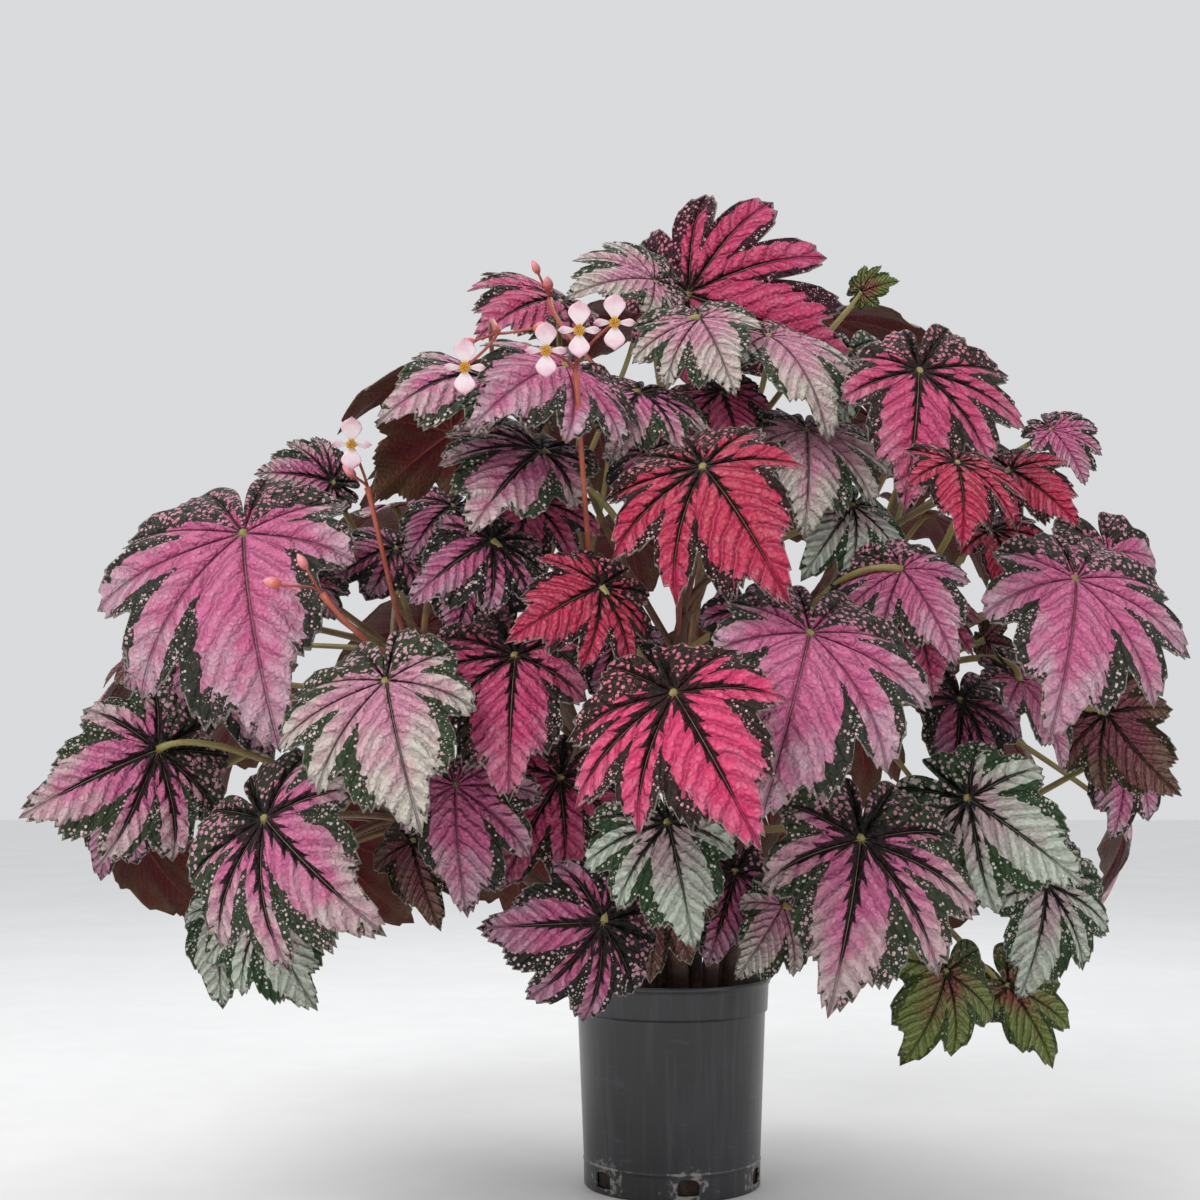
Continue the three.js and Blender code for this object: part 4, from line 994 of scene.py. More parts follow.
    def best_route(
        self, stem: Stem, blade: Blade | None, curves: Array, sizes: Array, steps: int, paths: list[Array]
    ) -> tuple[Array, Array, float]:
        """Picks the route that comes near the fewest neighbours.

        What a route comes near of other stems counts first, then the blades of its own stem, then its length
        and the size of its bow.

        Args:
            stem: its stem.
            blade: the blade that it leads to, if any.
            curves: control points of every route, of shape (routes, 4, 3).
            sizes: the size of each route's bow.
            steps: the number of straight runs that its solid has.
            paths: points along each of the other petioles and stalks.

        Returns:
            The route's control points, points along its solid, and how many neighbours it comes near.
        """
        points, path = along_runs(cubic(curves, np.linspace(0, 1, steps + 1)))
        free = np.linalg.norm(points - curves[path, 0], axis=1) > 2 * self.stem_foot_radius
        points, path = points[free], path[free]
        wood_clear = self.petiole_radius + self.stem_foot_radius + self.stem_clearance
        low, high = points.min(axis=0) - wood_clear, points.max(axis=0) + wood_clear

        def count(hits: Truths) -> Array:
            """How many points of each route are hit."""
            return np.bincount(path[hits], minlength=len(curves))

        def near_any(others: Array, clear: float) -> Truths:
            """Which points come nearer than a distance to any of some other points.

            Args:
                others: the other points.
                clear: the distance.

            Returns:
                One truth value for each point.
            """
            others = others[((others > low) & (others < high)).all(axis=1)]
            squares = (points**2).sum(1)[:, None] + (others**2).sum(1) - 2 * points @ others.T
            return (squares < clear * clear).any(axis=1)

        def near_blades(blades: list[Blade]) -> Array:
            """How many points of each route are near blades, counted once for each blade."""
            return sum((count(b.near(points, self.petiole_clearance)) for b in blades), np.zeros(len(curves)))

        others = [other for other in self.stems if other is not stem]
        woods = np.concatenate([other.wood() for other in others])
        touches = near_blades([leaf for other in others for leaf in other.blades])
        touches = touches + count(self.in_pot(points))
        touches = touches + count(near_any(np.concatenate(paths), self.petiole_clearance))
        touches = touches + count(near_any(woods, wood_clear))
        own = near_blades([leaf for leaf in stem.blades if leaf is not blade])
        length = np.linalg.norm(np.diff(cubic(curves, np.linspace(0, 1, 201)), axis=1), axis=-1).sum(axis=1)
        best = int(np.argmin(touches + self.own_leaf_cost * own + self.detour_cost * (length + sizes)))
        return curves[best], points[path == best], float(touches[best])

    def in_pot(self, points: Array) -> Truths:
        """Which points come near the pot, or the soil in it.

        Args:
            points: the points.

        Returns:
            One truth value for each.
        """
        across = np.hypot(points[:, 0], points[:, 1])
        over_soil = across < self.rim_radius - 2 * self.pot_clearance
        limit = self.pot_height + self.pot_clearance - self.soil_depth * over_soil
        return (points[:, 2] < limit) & (across < self.rim_radius + self.pot_clearance)

    def route_petioles(self, rounds: int = 3) -> list[Array]:
        """Routes every petiole, which comes in to its blade from behind and from the side of the sinus.

        In the later rounds those that still come near anything look again.

        Args:
            rounds: how many times all of them are gone through.

        Returns:
            Points along each petiole.
        """
        links = [(stem, blade) for stem in self.stems for blade in stem.blades]
        paths, touches = [np.zeros((0, 3)) for _ in links], [1.0 for _ in links]
        for _ in range(rounds):
            for i, (stem, blade) in enumerate(links):
                if not touches[i]:
                    continue
                late = blade.at - blade.along * 0.22 * blade.size - blade.normal * 0.3 * blade.size
                ways = self.routes(stem, blade.at, late, lambda _, b=blade: (b.along, b.across), 0.5)
                rest = paths[:i] + paths[i + 1 :]
                found = self.best_route(stem, blade, *ways, self.petiole_steps, rest)
                blade.petiole, paths[i], touches[i] = found
        return paths

    def lay_spray(self, row: SprayRow, most_steps: int = 40) -> Spray:
        """Puts a spray by its row, and moves it towards the viewer until it is clear of the leaves.

        Args:
            row: the spray's row.
            most_steps: how many steps it may move.

        Returns:
            The spray.
        """
        deep = self.dome.forward(self.view, row.fork) + row.lift
        fork = self.view.seen(row.fork, deep)
        lifts = deep + self.flower_lift + self.flower_step * np.arange(len(row.flowers))
        flowers = [self.view.seen(pixel, lift) for pixel, lift in zip(row.flowers, lifts)]
        buds = [self.view.seen(pixel, deep + self.bud_lift) for pixel in row.buds]
        way = unit(self.view.eye - fork)
        ends = np.array([*flowers, *buds])
        petals = [vec(cut.length * math.cos(cut.turn), 0, cut.length * math.sin(cut.turn)) for cut in PETALS]
        spread = [flower + petals for flower in flowers]
        points = np.concatenate([fork[None], ends, (ends + fork) / 2, *spread])
        clear = self.blade_clearance + self.stem_clearance
        laid = [blade for stem in self.stems for blade in stem.blades]
        moved = vec(0, 0, 0)
        for _ in range(most_steps):
            if not any(blade.near(points + moved, clear).any() for blade in laid):
                break
            moved = moved + way * self.lay_step
        flowers, buds = (np.array(spots).reshape(-1, 3) + moved for spots in (flowers, buds))
        return Spray(fork + moved, flowers, buds, way)

    def grow_sprays(self, paths: list[Array]) -> None:
        """Lays every spray, and routes its stalk from its stem to its fork, where it comes in from below.

        Args:
            paths: points along every petiole; each stalk's are added.
        """
        for row in SPRAYS:
            stem = next(s for s in self.stems if s.name == "stem_" + row.stem)
            spray = self.lay_spray(row)
            late = spray.fork - spray.facing * self.stalk_arrival
            late[2] = spray.fork[2] - self.stalk_arrival

            def axes(root: Array, spray: Spray = spray) -> tuple[Array, Array]:
                """The straight way to the fork, and the way across it."""
                along = unit(spray.fork - root)
                return along, unit(np.cross(along, spray.facing))

            ways = self.routes(stem, spray.fork, late, axes, 1.0)
            spray.stalk, path, _ = self.best_route(stem, None, *ways, self.stalk_steps, paths)
            paths.append(path)
            stem.sprays.append(spray)


def grid_quads(rows: int, columns: int, closed: bool) -> Faces:
    """The quads of a grid of points numbered row by row.

    Args:
        rows: how many rows it has.
        columns: how many points a row has.
        closed: whether the last column meets the first.

    Returns:
        Quads, of shape (rows - 1, cells in a row, 4).
    """
    along = np.arange(columns if closed else columns - 1)
    base = np.arange(rows - 1)[:, None] * columns
    here, beside = base + along, base + (along + 1) % columns
    return np.stack([here, beside, beside + columns, here + columns], axis=-1)


@dataclass
class Shape:
    """A closed mesh in millimetres.

    Attributes:
        points: its points.
        quads: its faces with four corners.
        triangles: its faces with three corners.
        carried: values that its points carry for the finishes, three for each point.
        finish: the number of the finish of every face, quads first.
    """

    points: Array
    quads: Faces
    triangles: Faces
    carried: dict[str, Array] = field(default_factory=dict)
    finish: Faces | None = None

    def __post_init__(self) -> None:
        """Turns the faces outwards, where the volume that they enclose comes out negative."""
        if self.finish is None:
            self.finish = np.zeros(len(self.quads) + len(self.triangles), dtype=np.int64)
        halves = [self.quads[:, [0, 1, 2]], self.quads[:, [0, 2, 3]], self.triangles]
        corners = self.points[np.concatenate(halves)]
        volume = (corners[:, 0] * np.cross(corners[:, 1], corners[:, 2])).sum()
        if volume < 0:
            self.quads, self.triangles = self.quads[:, ::-1], self.triangles[:, ::-1]

    @classmethod
    def joined(cls, shapes: list[Shape]) -> Shape:
        """One shape from several that carry the same values.

        Args:
            shapes: the shapes.

        Returns:
            The shape, with the faces of each still in their own order.
        """
        starts = np.cumsum([0] + [len(shape.points) for shape in shapes[:-1]])
        quads = np.concatenate([shape.quads + start for shape, start in zip(shapes, starts)])
        triangles = np.concatenate([shape.triangles + start for shape, start in zip(shapes, starts)])
        marks = [shape.finish[: len(shape.quads)] for shape in shapes]
        marks += [shape.finish[len(shape.quads) :] for shape in shapes]
        names = shapes[0].carried
        carried = {name: np.concatenate([shape.carried[name] for shape in shapes]) for name in names}
        points = np.concatenate([shape.points for shape in shapes])
        return cls(points, quads, triangles, carried, np.concatenate(marks))

    def marked(self, number: int) -> Shape:
        """This shape with every face in one finish."""
        self.finish = np.full(len(self.quads) + len(self.triangles), number, dtype=np.int64)
        return self

    def carrying(self, name: str, *values: Array | float) -> Shape:
        """This shape with three values at every point, each given for all points or for each."""
        self.carried[name] = np.stack([np.broadcast_to(v, len(self.points)) for v in values], axis=1)
        return self

    def piece(self, name: str, finishes: list[bpy.types.Material], node: str, slot: str) -> None:
        """Makes the piece in the scene, in metres, standing for a node.

        Args:
            name: the piece's name.
            finishes: its materials, in the order of the finish numbers.
            node: the node of the frame that it replaces.
            slot: the name of a record's slot; it is not used.
        """
        mesh = bpy.data.meshes.new(name)
        loops = np.concatenate([self.quads.ravel(), self.triangles.ravel()])
        sizes = np.repeat([4, 3], [len(self.quads), len(self.triangles)])
        mesh.vertices.add(len(self.points))
        mesh.vertices.foreach_set("co", (self.points * METRES).astype(np.float32).ravel())
        mesh.loops.add(len(loops))
        mesh.loops.foreach_set("vertex_index", loops.astype(np.int32))
        mesh.polygons.add(len(sizes))
        mesh.polygons.foreach_set("loop_start", (np.cumsum(sizes) - sizes).astype(np.int32))
        mesh.polygons.foreach_set("material_index", self.finish.astype(np.int32))
        mesh.polygons.foreach_set("use_smooth", np.ones(len(sizes), dtype=bool))
        for label, values in self.carried.items():
            layer = mesh.attributes.new(label, "FLOAT_VECTOR", "POINT")
            layer.data.foreach_set("vector", values.astype(np.float32).ravel())
        for finish in finishes:
            mesh.materials.append(finish)
        mesh.update(calc_edges=True)
        mesh.validate()
        thing = bpy.data.objects.new(name, mesh)
        bpy.context.scene.collection.objects.link(thing)
        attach(thing, "root")
        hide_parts(node)
        LOG.info("%s: %d triangles", name, 2 * len(self.quads) + len(self.triangles))


def tube(line: Array, radius: Array, sides: int, squash: Array | float = 0.0) -> Shape:
    """A closed round tube along a line, with a pole at each end.

    Each ring stands square to the line, and its first spoke keeps to the line's own plane, so that the rings
    don't twist. The points carry how far along and how far round they are.

    Args:
        line: the points of its middle line.
        radius: its radius at each.
        sides: how many sides it has.
        squash: how much wider its rings are along their first spoke, and narrower across it.

    Returns:
        The tube.
    """
    ahead = unit(np.gradient(line, axis=0))
    plane = np.cross(line[-1] - line[0], line[len(line) // 2] - line[0])
    if np.linalg.norm(plane) < 1e-3:
        plane = np.eye(3)[np.argmin(np.abs(ahead[0]))]
    first = unit(plane - ahead * (ahead @ plane)[:, None])
    second = np.cross(ahead, first)
    turn = 2 * math.pi * np.arange(sides) / sides
    spokes = first[:, None] * (np.cos(turn) * (1 + squash))[None, :, None]
    spokes = spokes + second[:, None] * (np.sin(turn) * (1 - squash))[None, :, None]
    rings = line[:, None] + spokes * np.asarray(radius)[:, None, None]
    count = len(line)
    points = np.concatenate([rings.reshape(-1, 3), line[:1], line[-1:]])
    around = np.arange(sides)
    beside = (around + 1) % sides
    last = (count - 1) * sides
    start = np.stack([beside, around, np.full(sides, count * sides)], axis=1)
    end = np.stack([around + last, beside + last, np.full(sides, count * sides + 1)], axis=1)
    along = np.concatenate([np.repeat(np.linspace(0, 1, count), sides), [0.0, 1.0]])
    round_it = np.concatenate([np.tile(around / sides, count), [0.0, 0.0]])
    quads = grid_quads(count, sides, True).reshape(-1, 4)
    return Shape(points, quads, np.concatenate([start, end])).carrying("place", along, round_it, 0.0)


def sheet_shell(middle: Array, thickness: Array, closed: bool) -> Shape:
    """A thin closed shell about a grid of points.

    Its two faces stand half a thickness to either side of the grid, along the grid's own normals, and a strip
    of quads joins them round the rim. The first row may be one point, repeated.

    Args:
        middle: the grid, of shape (rows, columns, 3).
        thickness: the thickness at each of its points.
        closed: whether the last column meets the first.

    Returns:
        The shell; its upper face is finish 0, its lower face 1 and its rim 0.
    """
    rows, columns = middle.shape[:2]
    outward = np.gradient(middle, axis=0)
    around = (np.roll(middle, -1, 1) - np.roll(middle, 1, 1)) if closed else np.gradient(middle, axis=1)
    normal = np.cross(outward, around)
    size = np.linalg.norm(normal, axis=-1, keepdims=True)
    mean = unit(normal[size[..., 0] > 1e-9].sum(axis=0))
    normal = np.where(size > 1e-9, normal / np.maximum(size, 1e-12), mean)
    half = 0.5 * thickness[..., None] * normal
    points = np.concatenate([(middle + half).reshape(-1, 3), (middle - half).reshape(-1, 3)])
    top = grid_quads(rows, columns, closed).reshape(-1, 4)[:, ::-1]
    below = top[:, ::-1] + rows * columns
    cells = columns if closed else columns - 1
    rim = (rows - 1) * columns + np.arange(cells)
    beside = (rows - 1) * columns + (np.arange(cells) + 1) % columns
    edge = np.stack([beside, rim, rim + rows * columns, beside + rows * columns], axis=1)
    quads = np.concatenate([top, below, edge])
    if not closed:
        quads = np.concatenate([quads, *side_strips(rows, columns)])
    finish = np.zeros(len(quads), dtype=np.int64)
    finish[len(top) : 2 * len(top)] = 1
    return Shape(points, quads, np.zeros((0, 3), dtype=np.int64), finish=finish)


def side_strips(rows: int, columns: int) -> list[Faces]:
    """The strips that close the two sides and the first row of an open sheet's shell.

    Args:
        rows: the rows of its grid.
        columns: the points of a row.

    Returns:
        The quads of the three strips.
    """
    lower = rows * columns
    down = np.arange(rows - 1) * columns
    across = np.arange(columns - 1)
    left = np.stack([down + columns, down, down + lower, down + columns + lower], axis=1)
    far = down + columns - 1
    right = np.stack([far, far + columns, far + columns + lower, far + lower], axis=1)
    first = np.stack([across, across + 1, across + 1 + lower, across + lower], axis=1)
    return [left, right, first]


class Rim(NamedTuple):
    """The columns of a blade, from one side of the sinus round the tips of the lobes to the other.

    Attributes:
        angle: each column's angle from the midrib.
        reach: how far it reaches, as a share of the midrib.
        notched: how near a notch it is, from 0 on a tip to 1.
        vein: the angle of the main vein that it belongs to.
        between: how far it is from that vein to the border of the vein's field, from 0 to 1.
    """

    angle: Array
    reach: Array
    notched: Array
    vein: Array
    between: Array


@dataclass(frozen=True)
class LeafCut:
    """How a leaf is cut into lobes and teeth, and how its surface swells between the veins.

    Attributes:
        steps: how many columns there are from a tip to the notch beside it.
        rows: how many rows there are from the petiole point to the rim.
        notches: how long the radius of a notch between main lobes is, as a share of the mean of their
            lengths, on the least and on the most deeply cut leaf.
        shallow: the same two shares for a notch within a main lobe.
        inset: how long a lobe is of its length on the solid.
        teeth: how many teeth there are from a tip to a notch.
        tooth: how deep a tooth is on a round lobe and on a pointed one, as a share of the radius.
        early: how much of the fall from tip to notch comes early, on a round lobe and on a pointed one.
        unlike: how much the lobes of a leaf differ in length, as a share.
        astray: how far a lobe stands from its usual angle, in radians.
        bow: how far the main veins bow outwards halfway along, in radians.
        groove: how deep the main veins lie, as a share of the midrib.
        groove_width: how far their sides reach.
        swell: how high the blade swells between them.
        frill: how high the small waves beside the notches are.
        frills: how many of them go round the blade.
        full_reach: how long a lobe has to be to wave in full.
        sink: how far the whole blade lies under the middle of its solid.
        thick: the blade's thickness at its middle, in millimetres.
        thin: its thickness at the rim.
    """

    steps: int = 9
    rows: int = 12
    notches: tuple[float, float] = (0.84, 0.54)
    shallow: tuple[float, float] = (0.91, 0.78)
    inset: float = 0.955
    teeth: int = 3
    tooth: tuple[float, float] = (0.045, 0.10)
    early: tuple[float, float] = (0.12, 0.72)
    unlike: float = 0.04
    astray: float = 0.03
    bow: float = 0.08
    groove: float = 0.010
    groove_width: float = 0.02
    swell: float = 0.055
    frill: float = 0.012
    frills: int = 11
    full_reach: float = 0.4
    sink: float = 0.0012
    thick: float = 0.9
    thin: float = 0.6

    def rim(self, lobing: Lobing, colours: LeafColours, phase: float) -> Rim:
        """Works out the columns.

        The radius falls from each tip to the notch beside it: a little at once, which points the tip, and
        most of it close to the notch, which keeps the lobe broad. A sawtooth takes the teeth from it. From
        the last veins it falls to the sinus along a round curve.

        Args:
            lobing: the lobes.
            colours: the leaf's habit, which holds how deeply it is cut.
            phase: the leaf's own phase, which varies its lobes a little.

        Returns:
            The columns.
        """
        lobes, shares, owners = lobing
        number = np.arange(len(shares))
        lengths = shares * (self.inset - self.unlike * (1 + np.sin(5 * number + phase)) * (shares < 1))
        lobes = lobes + self.astray * np.sin(7 * number + 3 * phase)
        share = np.arange(self.steps) / self.steps
        notch = (lobes[1:] + lobes[:-1]) / 2
        between_lobes = np.interp(colours.cut, [0, 1], self.notches)
        within_a_lobe = np.interp(colours.cut, [0, 1], self.shallow)
        depth = np.where(owners[1:] == owners[:-1], within_a_lobe, between_lobes)
        floor = ((shares[1:] + shares[:-1]) / 2 * depth)[:, None]
        p = np.concatenate([share, 1 - share])
        rising = np.arange(2 * self.steps) < self.steps
        lobe = np.where(rising, lobes[:-1, None], lobes[1:, None])
        length = np.where(rising, lengths[:-1, None], lengths[1:, None])
        early = np.interp(colours.point, [0, 1], self.early)
        fall = early * p**0.75 + (1 - early) * p**3
        depth_of_teeth = np.interp(colours.point, [0, 1], self.tooth)
        saw = depth_of_teeth * np.mod(self.teeth * p, 1.0) * (1 - 0.4 * p)
        angle = lobe + (notch[:, None] - lobe) * p
        reach = (length - (length - floor) * fall) * (1 - saw)
        q = 1 - np.arange(2 * self.steps) / (2 * self.steps)
        first, last = (
            SINUS_REACH + (length - SINUS_REACH) * (1 - away**2) ** 0.6
            for length, away in ((lengths[0], q), (lengths[-1], 1 - q))
        )
        before, after = lobes[0] - (math.pi + lobes[0]) * q, lobes[-1] + (math.pi - lobes[-1]) * (1 - q)
        angles = np.concatenate([before, angle.ravel(), after])
        borders = np.concatenate([[-math.pi], notch[owners[1:] != owners[:-1]], [math.pi]])
        veins = lobes[np.unique(owners)]
        field_number = np.clip(np.searchsorted(borders, angles, side="right") - 1, 0, len(veins) - 1)
        vein = veins[field_number]
        border = np.where(angles > vein, borders[field_number + 1], borders[field_number])
        between = np.abs(angles - vein) / np.abs(border - vein)
        reaches = np.concatenate([first, reach.ravel(), last])
        return Rim(angles, reaches, np.concatenate([q, np.tile(p, len(notch)), 1 - q]), vein, between)

    def shape(self, blade: Blade) -> Shape:
        """The leaf's blade as a thin shell.

        Its points carry where they are on the leaf ("place": how near the rim, how near the border of their
        vein's field, how near the sinus), where they are by the veins ("veins": along the herringbone of side
        veins, distance from the main vein, and the leaf's own chance), and the leaf's habit and colours.

        Args:
            blade: the blade.

        Returns:
            The shell.
        """
        colours = blade.look.value
        rim = self.rim(blade.lobing, colours, blade.phase)
        u = np.linspace(0, 1, self.rows + 1)[:, None]
        u = u * (1.25 - 0.25 * u)
        radius = u * rim.reach
        off = radius * np.abs(np.sin(rim.angle - rim.vein))
        full = np.clip(rim.reach / self.full_reach, 0, 1)
        swell = self.swell * np.sin(math.pi * rim.between) * u * (1.05 - u)
        frill = self.frill * u**3 * np.sin(math.pi * rim.notched) * full
        frill = frill * np.sin(self.frills * rim.angle + 3 * blade.phase)
        groove = self.groove * np.exp(-((off / self.groove_width) ** 2)) * (1 - u)
        relief = swell + frill - groove - self.sink
        bowed = rim.angle + self.bow * np.sin(rim.angle) * 4 * u * (1 - u)
        notched = ease(0, 1, rim.notched) + 0 * u
        middle = blade.surface(bowed * blade.side, radius, u * full, notched, relief)
        thickness = self.thick + (self.thin - self.thick) * u**2 + 0 * radius
        order = slice(None, None, blade.side)
        shell = sheet_shell(middle[:, order], thickness[:, order], True)

        def both(values: Array) -> Array:
            """Values of the grid for the points of both faces."""
            return np.tile(np.broadcast_to(values, relief.shape)[:, order].ravel(), 2)

        ahead = radius * np.cos(rim.angle - rim.vein) - 1.1 * off
        chance = (blade.phase * 7.3) % 1.0
        shell.carrying("place", both(u), both(rim.between), both(np.abs(rim.angle) / math.pi))
        shell.carrying("veins", both(ahead), both(off), chance)
        shell.carrying("habit", colours.star, colours.margin, colours.dots)
        shell.carrying("spread", colours.fade, 0.0, 0.0)
        for name, code in (("blush", colours.blush), ("tip", colours.tip), ("zone", colours.zone)):
            shell.carrying(name, *shade(code))
        return shell


def through(kind: str, swapped: bool = False) -> Callable[..., Wire]:
    """A method that sends a value, and another if it takes one, through a Math node.

    Args:
        kind: the node's operation.
        swapped: whether the other value comes first.

    Returns:
        The method.
    """

    def sent(self: Wire, *others: Wire | float) -> Wire:
        """Sends the value on.

        Args:
            others: the other value, where it takes one.

        Returns:
            The value that comes out of the node.
        """
        values = (*others, self) if swapped else (self, *others)
        node = self.bench.add("ShaderNodeMath", {"operation": kind}, dict(enumerate(values)))
        return Wire(self.bench, node.outputs[0])

    return sent


class Wire:
    """A value on its way through a material, which arithmetic carries on to new nodes."""

    __add__, __radd__ = through("ADD"), through("ADD", True)
    __sub__, __rsub__ = through("SUBTRACT"), through("SUBTRACT", True)
    __mul__, __rmul__ = through("MULTIPLY"), through("MULTIPLY", True)
    __truediv__, __rtruediv__ = through("DIVIDE"), through("DIVIDE", True)
    __pow__, fraction, size = through("POWER"), through("FRACT"), through("ABSOLUTE")
    least, most = through("MINIMUM"), through("MAXIMUM")

    def __init__(self, bench: Bench, socket: bpy.types.NodeSocket) -> None:
        """Holds the socket that the value comes from."""
        self.bench = bench
        self.socket = socket

    def ease(self, low: Wire | float, high: Wire | float) -> Wire:
        """A smooth step of this value: 0 at one bound and 1 at the other.

        Args:
            low: where it is 0.
            high: where it is 1, which may be the lower of the two.

        Returns:
            The step.
        """
        inputs = {"Value": self, "From Min": low, "From Max": high}
        node = self.bench.add("ShaderNodeMapRange", {"interpolation_type": "SMOOTHSTEP"}, inputs)
        return Wire(self.bench, node.outputs["Result"])

    def parts(self) -> list[Wire]:
        """The three numbers of a vector."""
        node = self.bench.add("ShaderNodeSeparateXYZ", {}, {"Vector": self})
        return [Wire(self.bench, socket) for socket in node.outputs]


class Bench:
    """Where a material is wired up."""

    def __init__(self, name: str) -> None:
        """Starts an empty material.

        Args:
            name: the material's name.
        """
        self.material = bpy.data.materials.new(name)
        self.material.use_nodes = True
        self.tree = self.material.node_tree
        self.tree.nodes.clear()

    def add(self, kind: str, settings: dict[str, Any], inputs: dict[str | int, Any]) -> bpy.types.Node:
        """Adds a node, sets it, then feeds its sockets with numbers, colours or wires.

        Args:
            kind: the node's type.
            settings: its settings by name.
            inputs: what each socket is fed, by its name or number.

        Returns:
            The node.
        """
        node = self.tree.nodes.new(kind)
        for name, value in settings.items():
            setattr(node, name, value)
        for key, value in inputs.items():
            socket = node.inputs[key]
            if isinstance(value, Wire):
                self.tree.links.new(value.socket, socket)
            elif socket.type == "RGBA" and len(value) == 3:
                socket.default_value = (*value, 1.0)
            else:
                socket.default_value = value
        return node

    def place(self) -> Wire:
        """Where a point is, in the object's own metres."""
        return Wire(self, self.add("ShaderNodeTexCoord", {}, {}).outputs["Object"])

    def carried(self, name: str) -> Wire:
        """The three values that the piece's points carry under a name."""
        return Wire(self, self.add("ShaderNodeAttribute", {"attribute_name": name}, {}).outputs["Vector"])

    def mix(self, share: Wire | float, first: Wire | Colour, second: Wire | Colour) -> Wire:
        """Two colours mixed, with a share of the second from 0 to 1."""
        node = self.add("ShaderNodeMix", {"data_type": "RGBA"}, {0: share, 6: first, 7: second})
        return Wire(self, node.outputs[2])

    def noise(self, scale: float, detail: float = 3.0, where: Wire | None = None) -> Wire:
        """Cloudy noise round 0.5, at so many waves to the metre and with so many finer layers."""
        inputs = {"Vector": where or self.place(), "Scale": scale, "Detail": detail, "Roughness": 0.55}
        return Wire(self, self.add("ShaderNodeTexNoise", {}, inputs).outputs[0])

    def cells(self, scale: float, edges: bool = False) -> Wire:
        """The distance to the middle of the nearest of many cells, or to the nearest border between them.

        Args:
            scale: cells to the metre.
            edges: whether it is the distance to a border.

        Returns:
            The distance, as a share of a cell.
        """
        feature = "DISTANCE_TO_EDGE" if edges else "F1"
        inputs = {"Vector": self.place(), "Scale": scale, "Randomness": 0.9}
        return Wire(self, self.add("ShaderNodeTexVoronoi", {"feature": feature}, inputs).outputs["Distance"])

    def stretched(self, x: float, y: float, z: float) -> Wire:
        """The object's place with each axis stretched."""
        inputs = {"Vector": self.place(), "Scale": (x, y, z)}
        return Wire(self, self.add("ShaderNodeMapping", {}, inputs).outputs["Vector"])

    def bump(self, height: Wire, distance: float, strength: float = 1.0) -> Wire:
        """A normal raised by a height, which is given with the distance in metres that 1 comes to."""
        inputs = {"Strength": strength, "Distance": distance, "Height": height}
        return Wire(self, self.add("ShaderNodeBump", {}, inputs).outputs["Normal"])

    def finished(self, **inputs: Any) -> bpy.types.Material:
        """Ends the material with its surface shader.

        Args:
            inputs: what each of the shader's sockets is fed, with underscores for the spaces of its name.

        Returns:
            The material.
        """
        named = {name.replace("_", " "): value for name, value in inputs.items()}
        shader = self.add("ShaderNodeBsdfPrincipled", {}, named)
        surface = Wire(self, shader.outputs["BSDF"])
        self.add("ShaderNodeOutputMaterial", {}, {"Surface": surface})
        return self.material


class LeafPlaces:
    """Where a point of a leaf's upper side is among its veins, ribs and puckers, as wires.

    The blade carries places, and the habit and colours of its kind of leaf, which keep their names here.
    Noise breaks them up: cloud and fine lie round 0.5, and drift and grain are the same two round 0.

    Attributes:
        out: how far out it is, from 0 at the petiole point to 1 at the rim.
        between: how near the border of its vein's field, from 0 to 1.
        basal: how near the sinus, from 0 on the midrib to 1.
        back_lobes: 1 on the lobes beside the sinus.
        off: how far from its main vein, as a share of the midrib.
        herring: how far it is from one side vein to the next, from 0 to 1.
        ribs: 0.5 on a side vein, and 0 halfway to the next.
        aside: 0 on a main vein and 1 beside it.
        pillow: 1 on the swelling between two side veins.
        puckers: 0 in the creases between the puckers.
        spot: the distance to the middle of the nearest dot, as a share of a cell.
    """

    def __init__(self, bench: Bench, herring: float) -> None:
        """Reads what the blade carries, and adds the noise.

        Args:
            bench: where the material is wired up.
            herring: how many side veins leave a main vein over the length of the midrib.
        """
        self.out, self.between, self.basal = bench.carried("place").parts()
        ahead, self.off, chance = bench.carried("veins").parts()
        self.star, self.margin, self.dots = bench.carried("habit").parts()
        self.fade = bench.carried("spread").parts()[0]
        self.blush, self.tip, self.zone = (bench.carried(name) for name in ("blush", "tip", "zone"))
        self.cloud, self.fine = bench.noise(60.0), bench.noise(420.0, 2.0)
        self.drift, self.grain = self.cloud - 0.5, self.fine - 0.5
        self.back_lobes = self.basal.ease(0.50, 0.76)
        self.herring = (ahead * herring + self.drift * 0.9 + chance).fraction()
        self.ribs = (self.herring - 0.5).size()
        self.aside = self.off.ease(0.0, 0.03)
        self.pillow = self.ribs.ease(0.5, 0.1) * self.aside
        self.puckers = bench.cells(210.0, edges=True).ease(0.0, 0.32)
        self.spot = bench.cells(250.0)


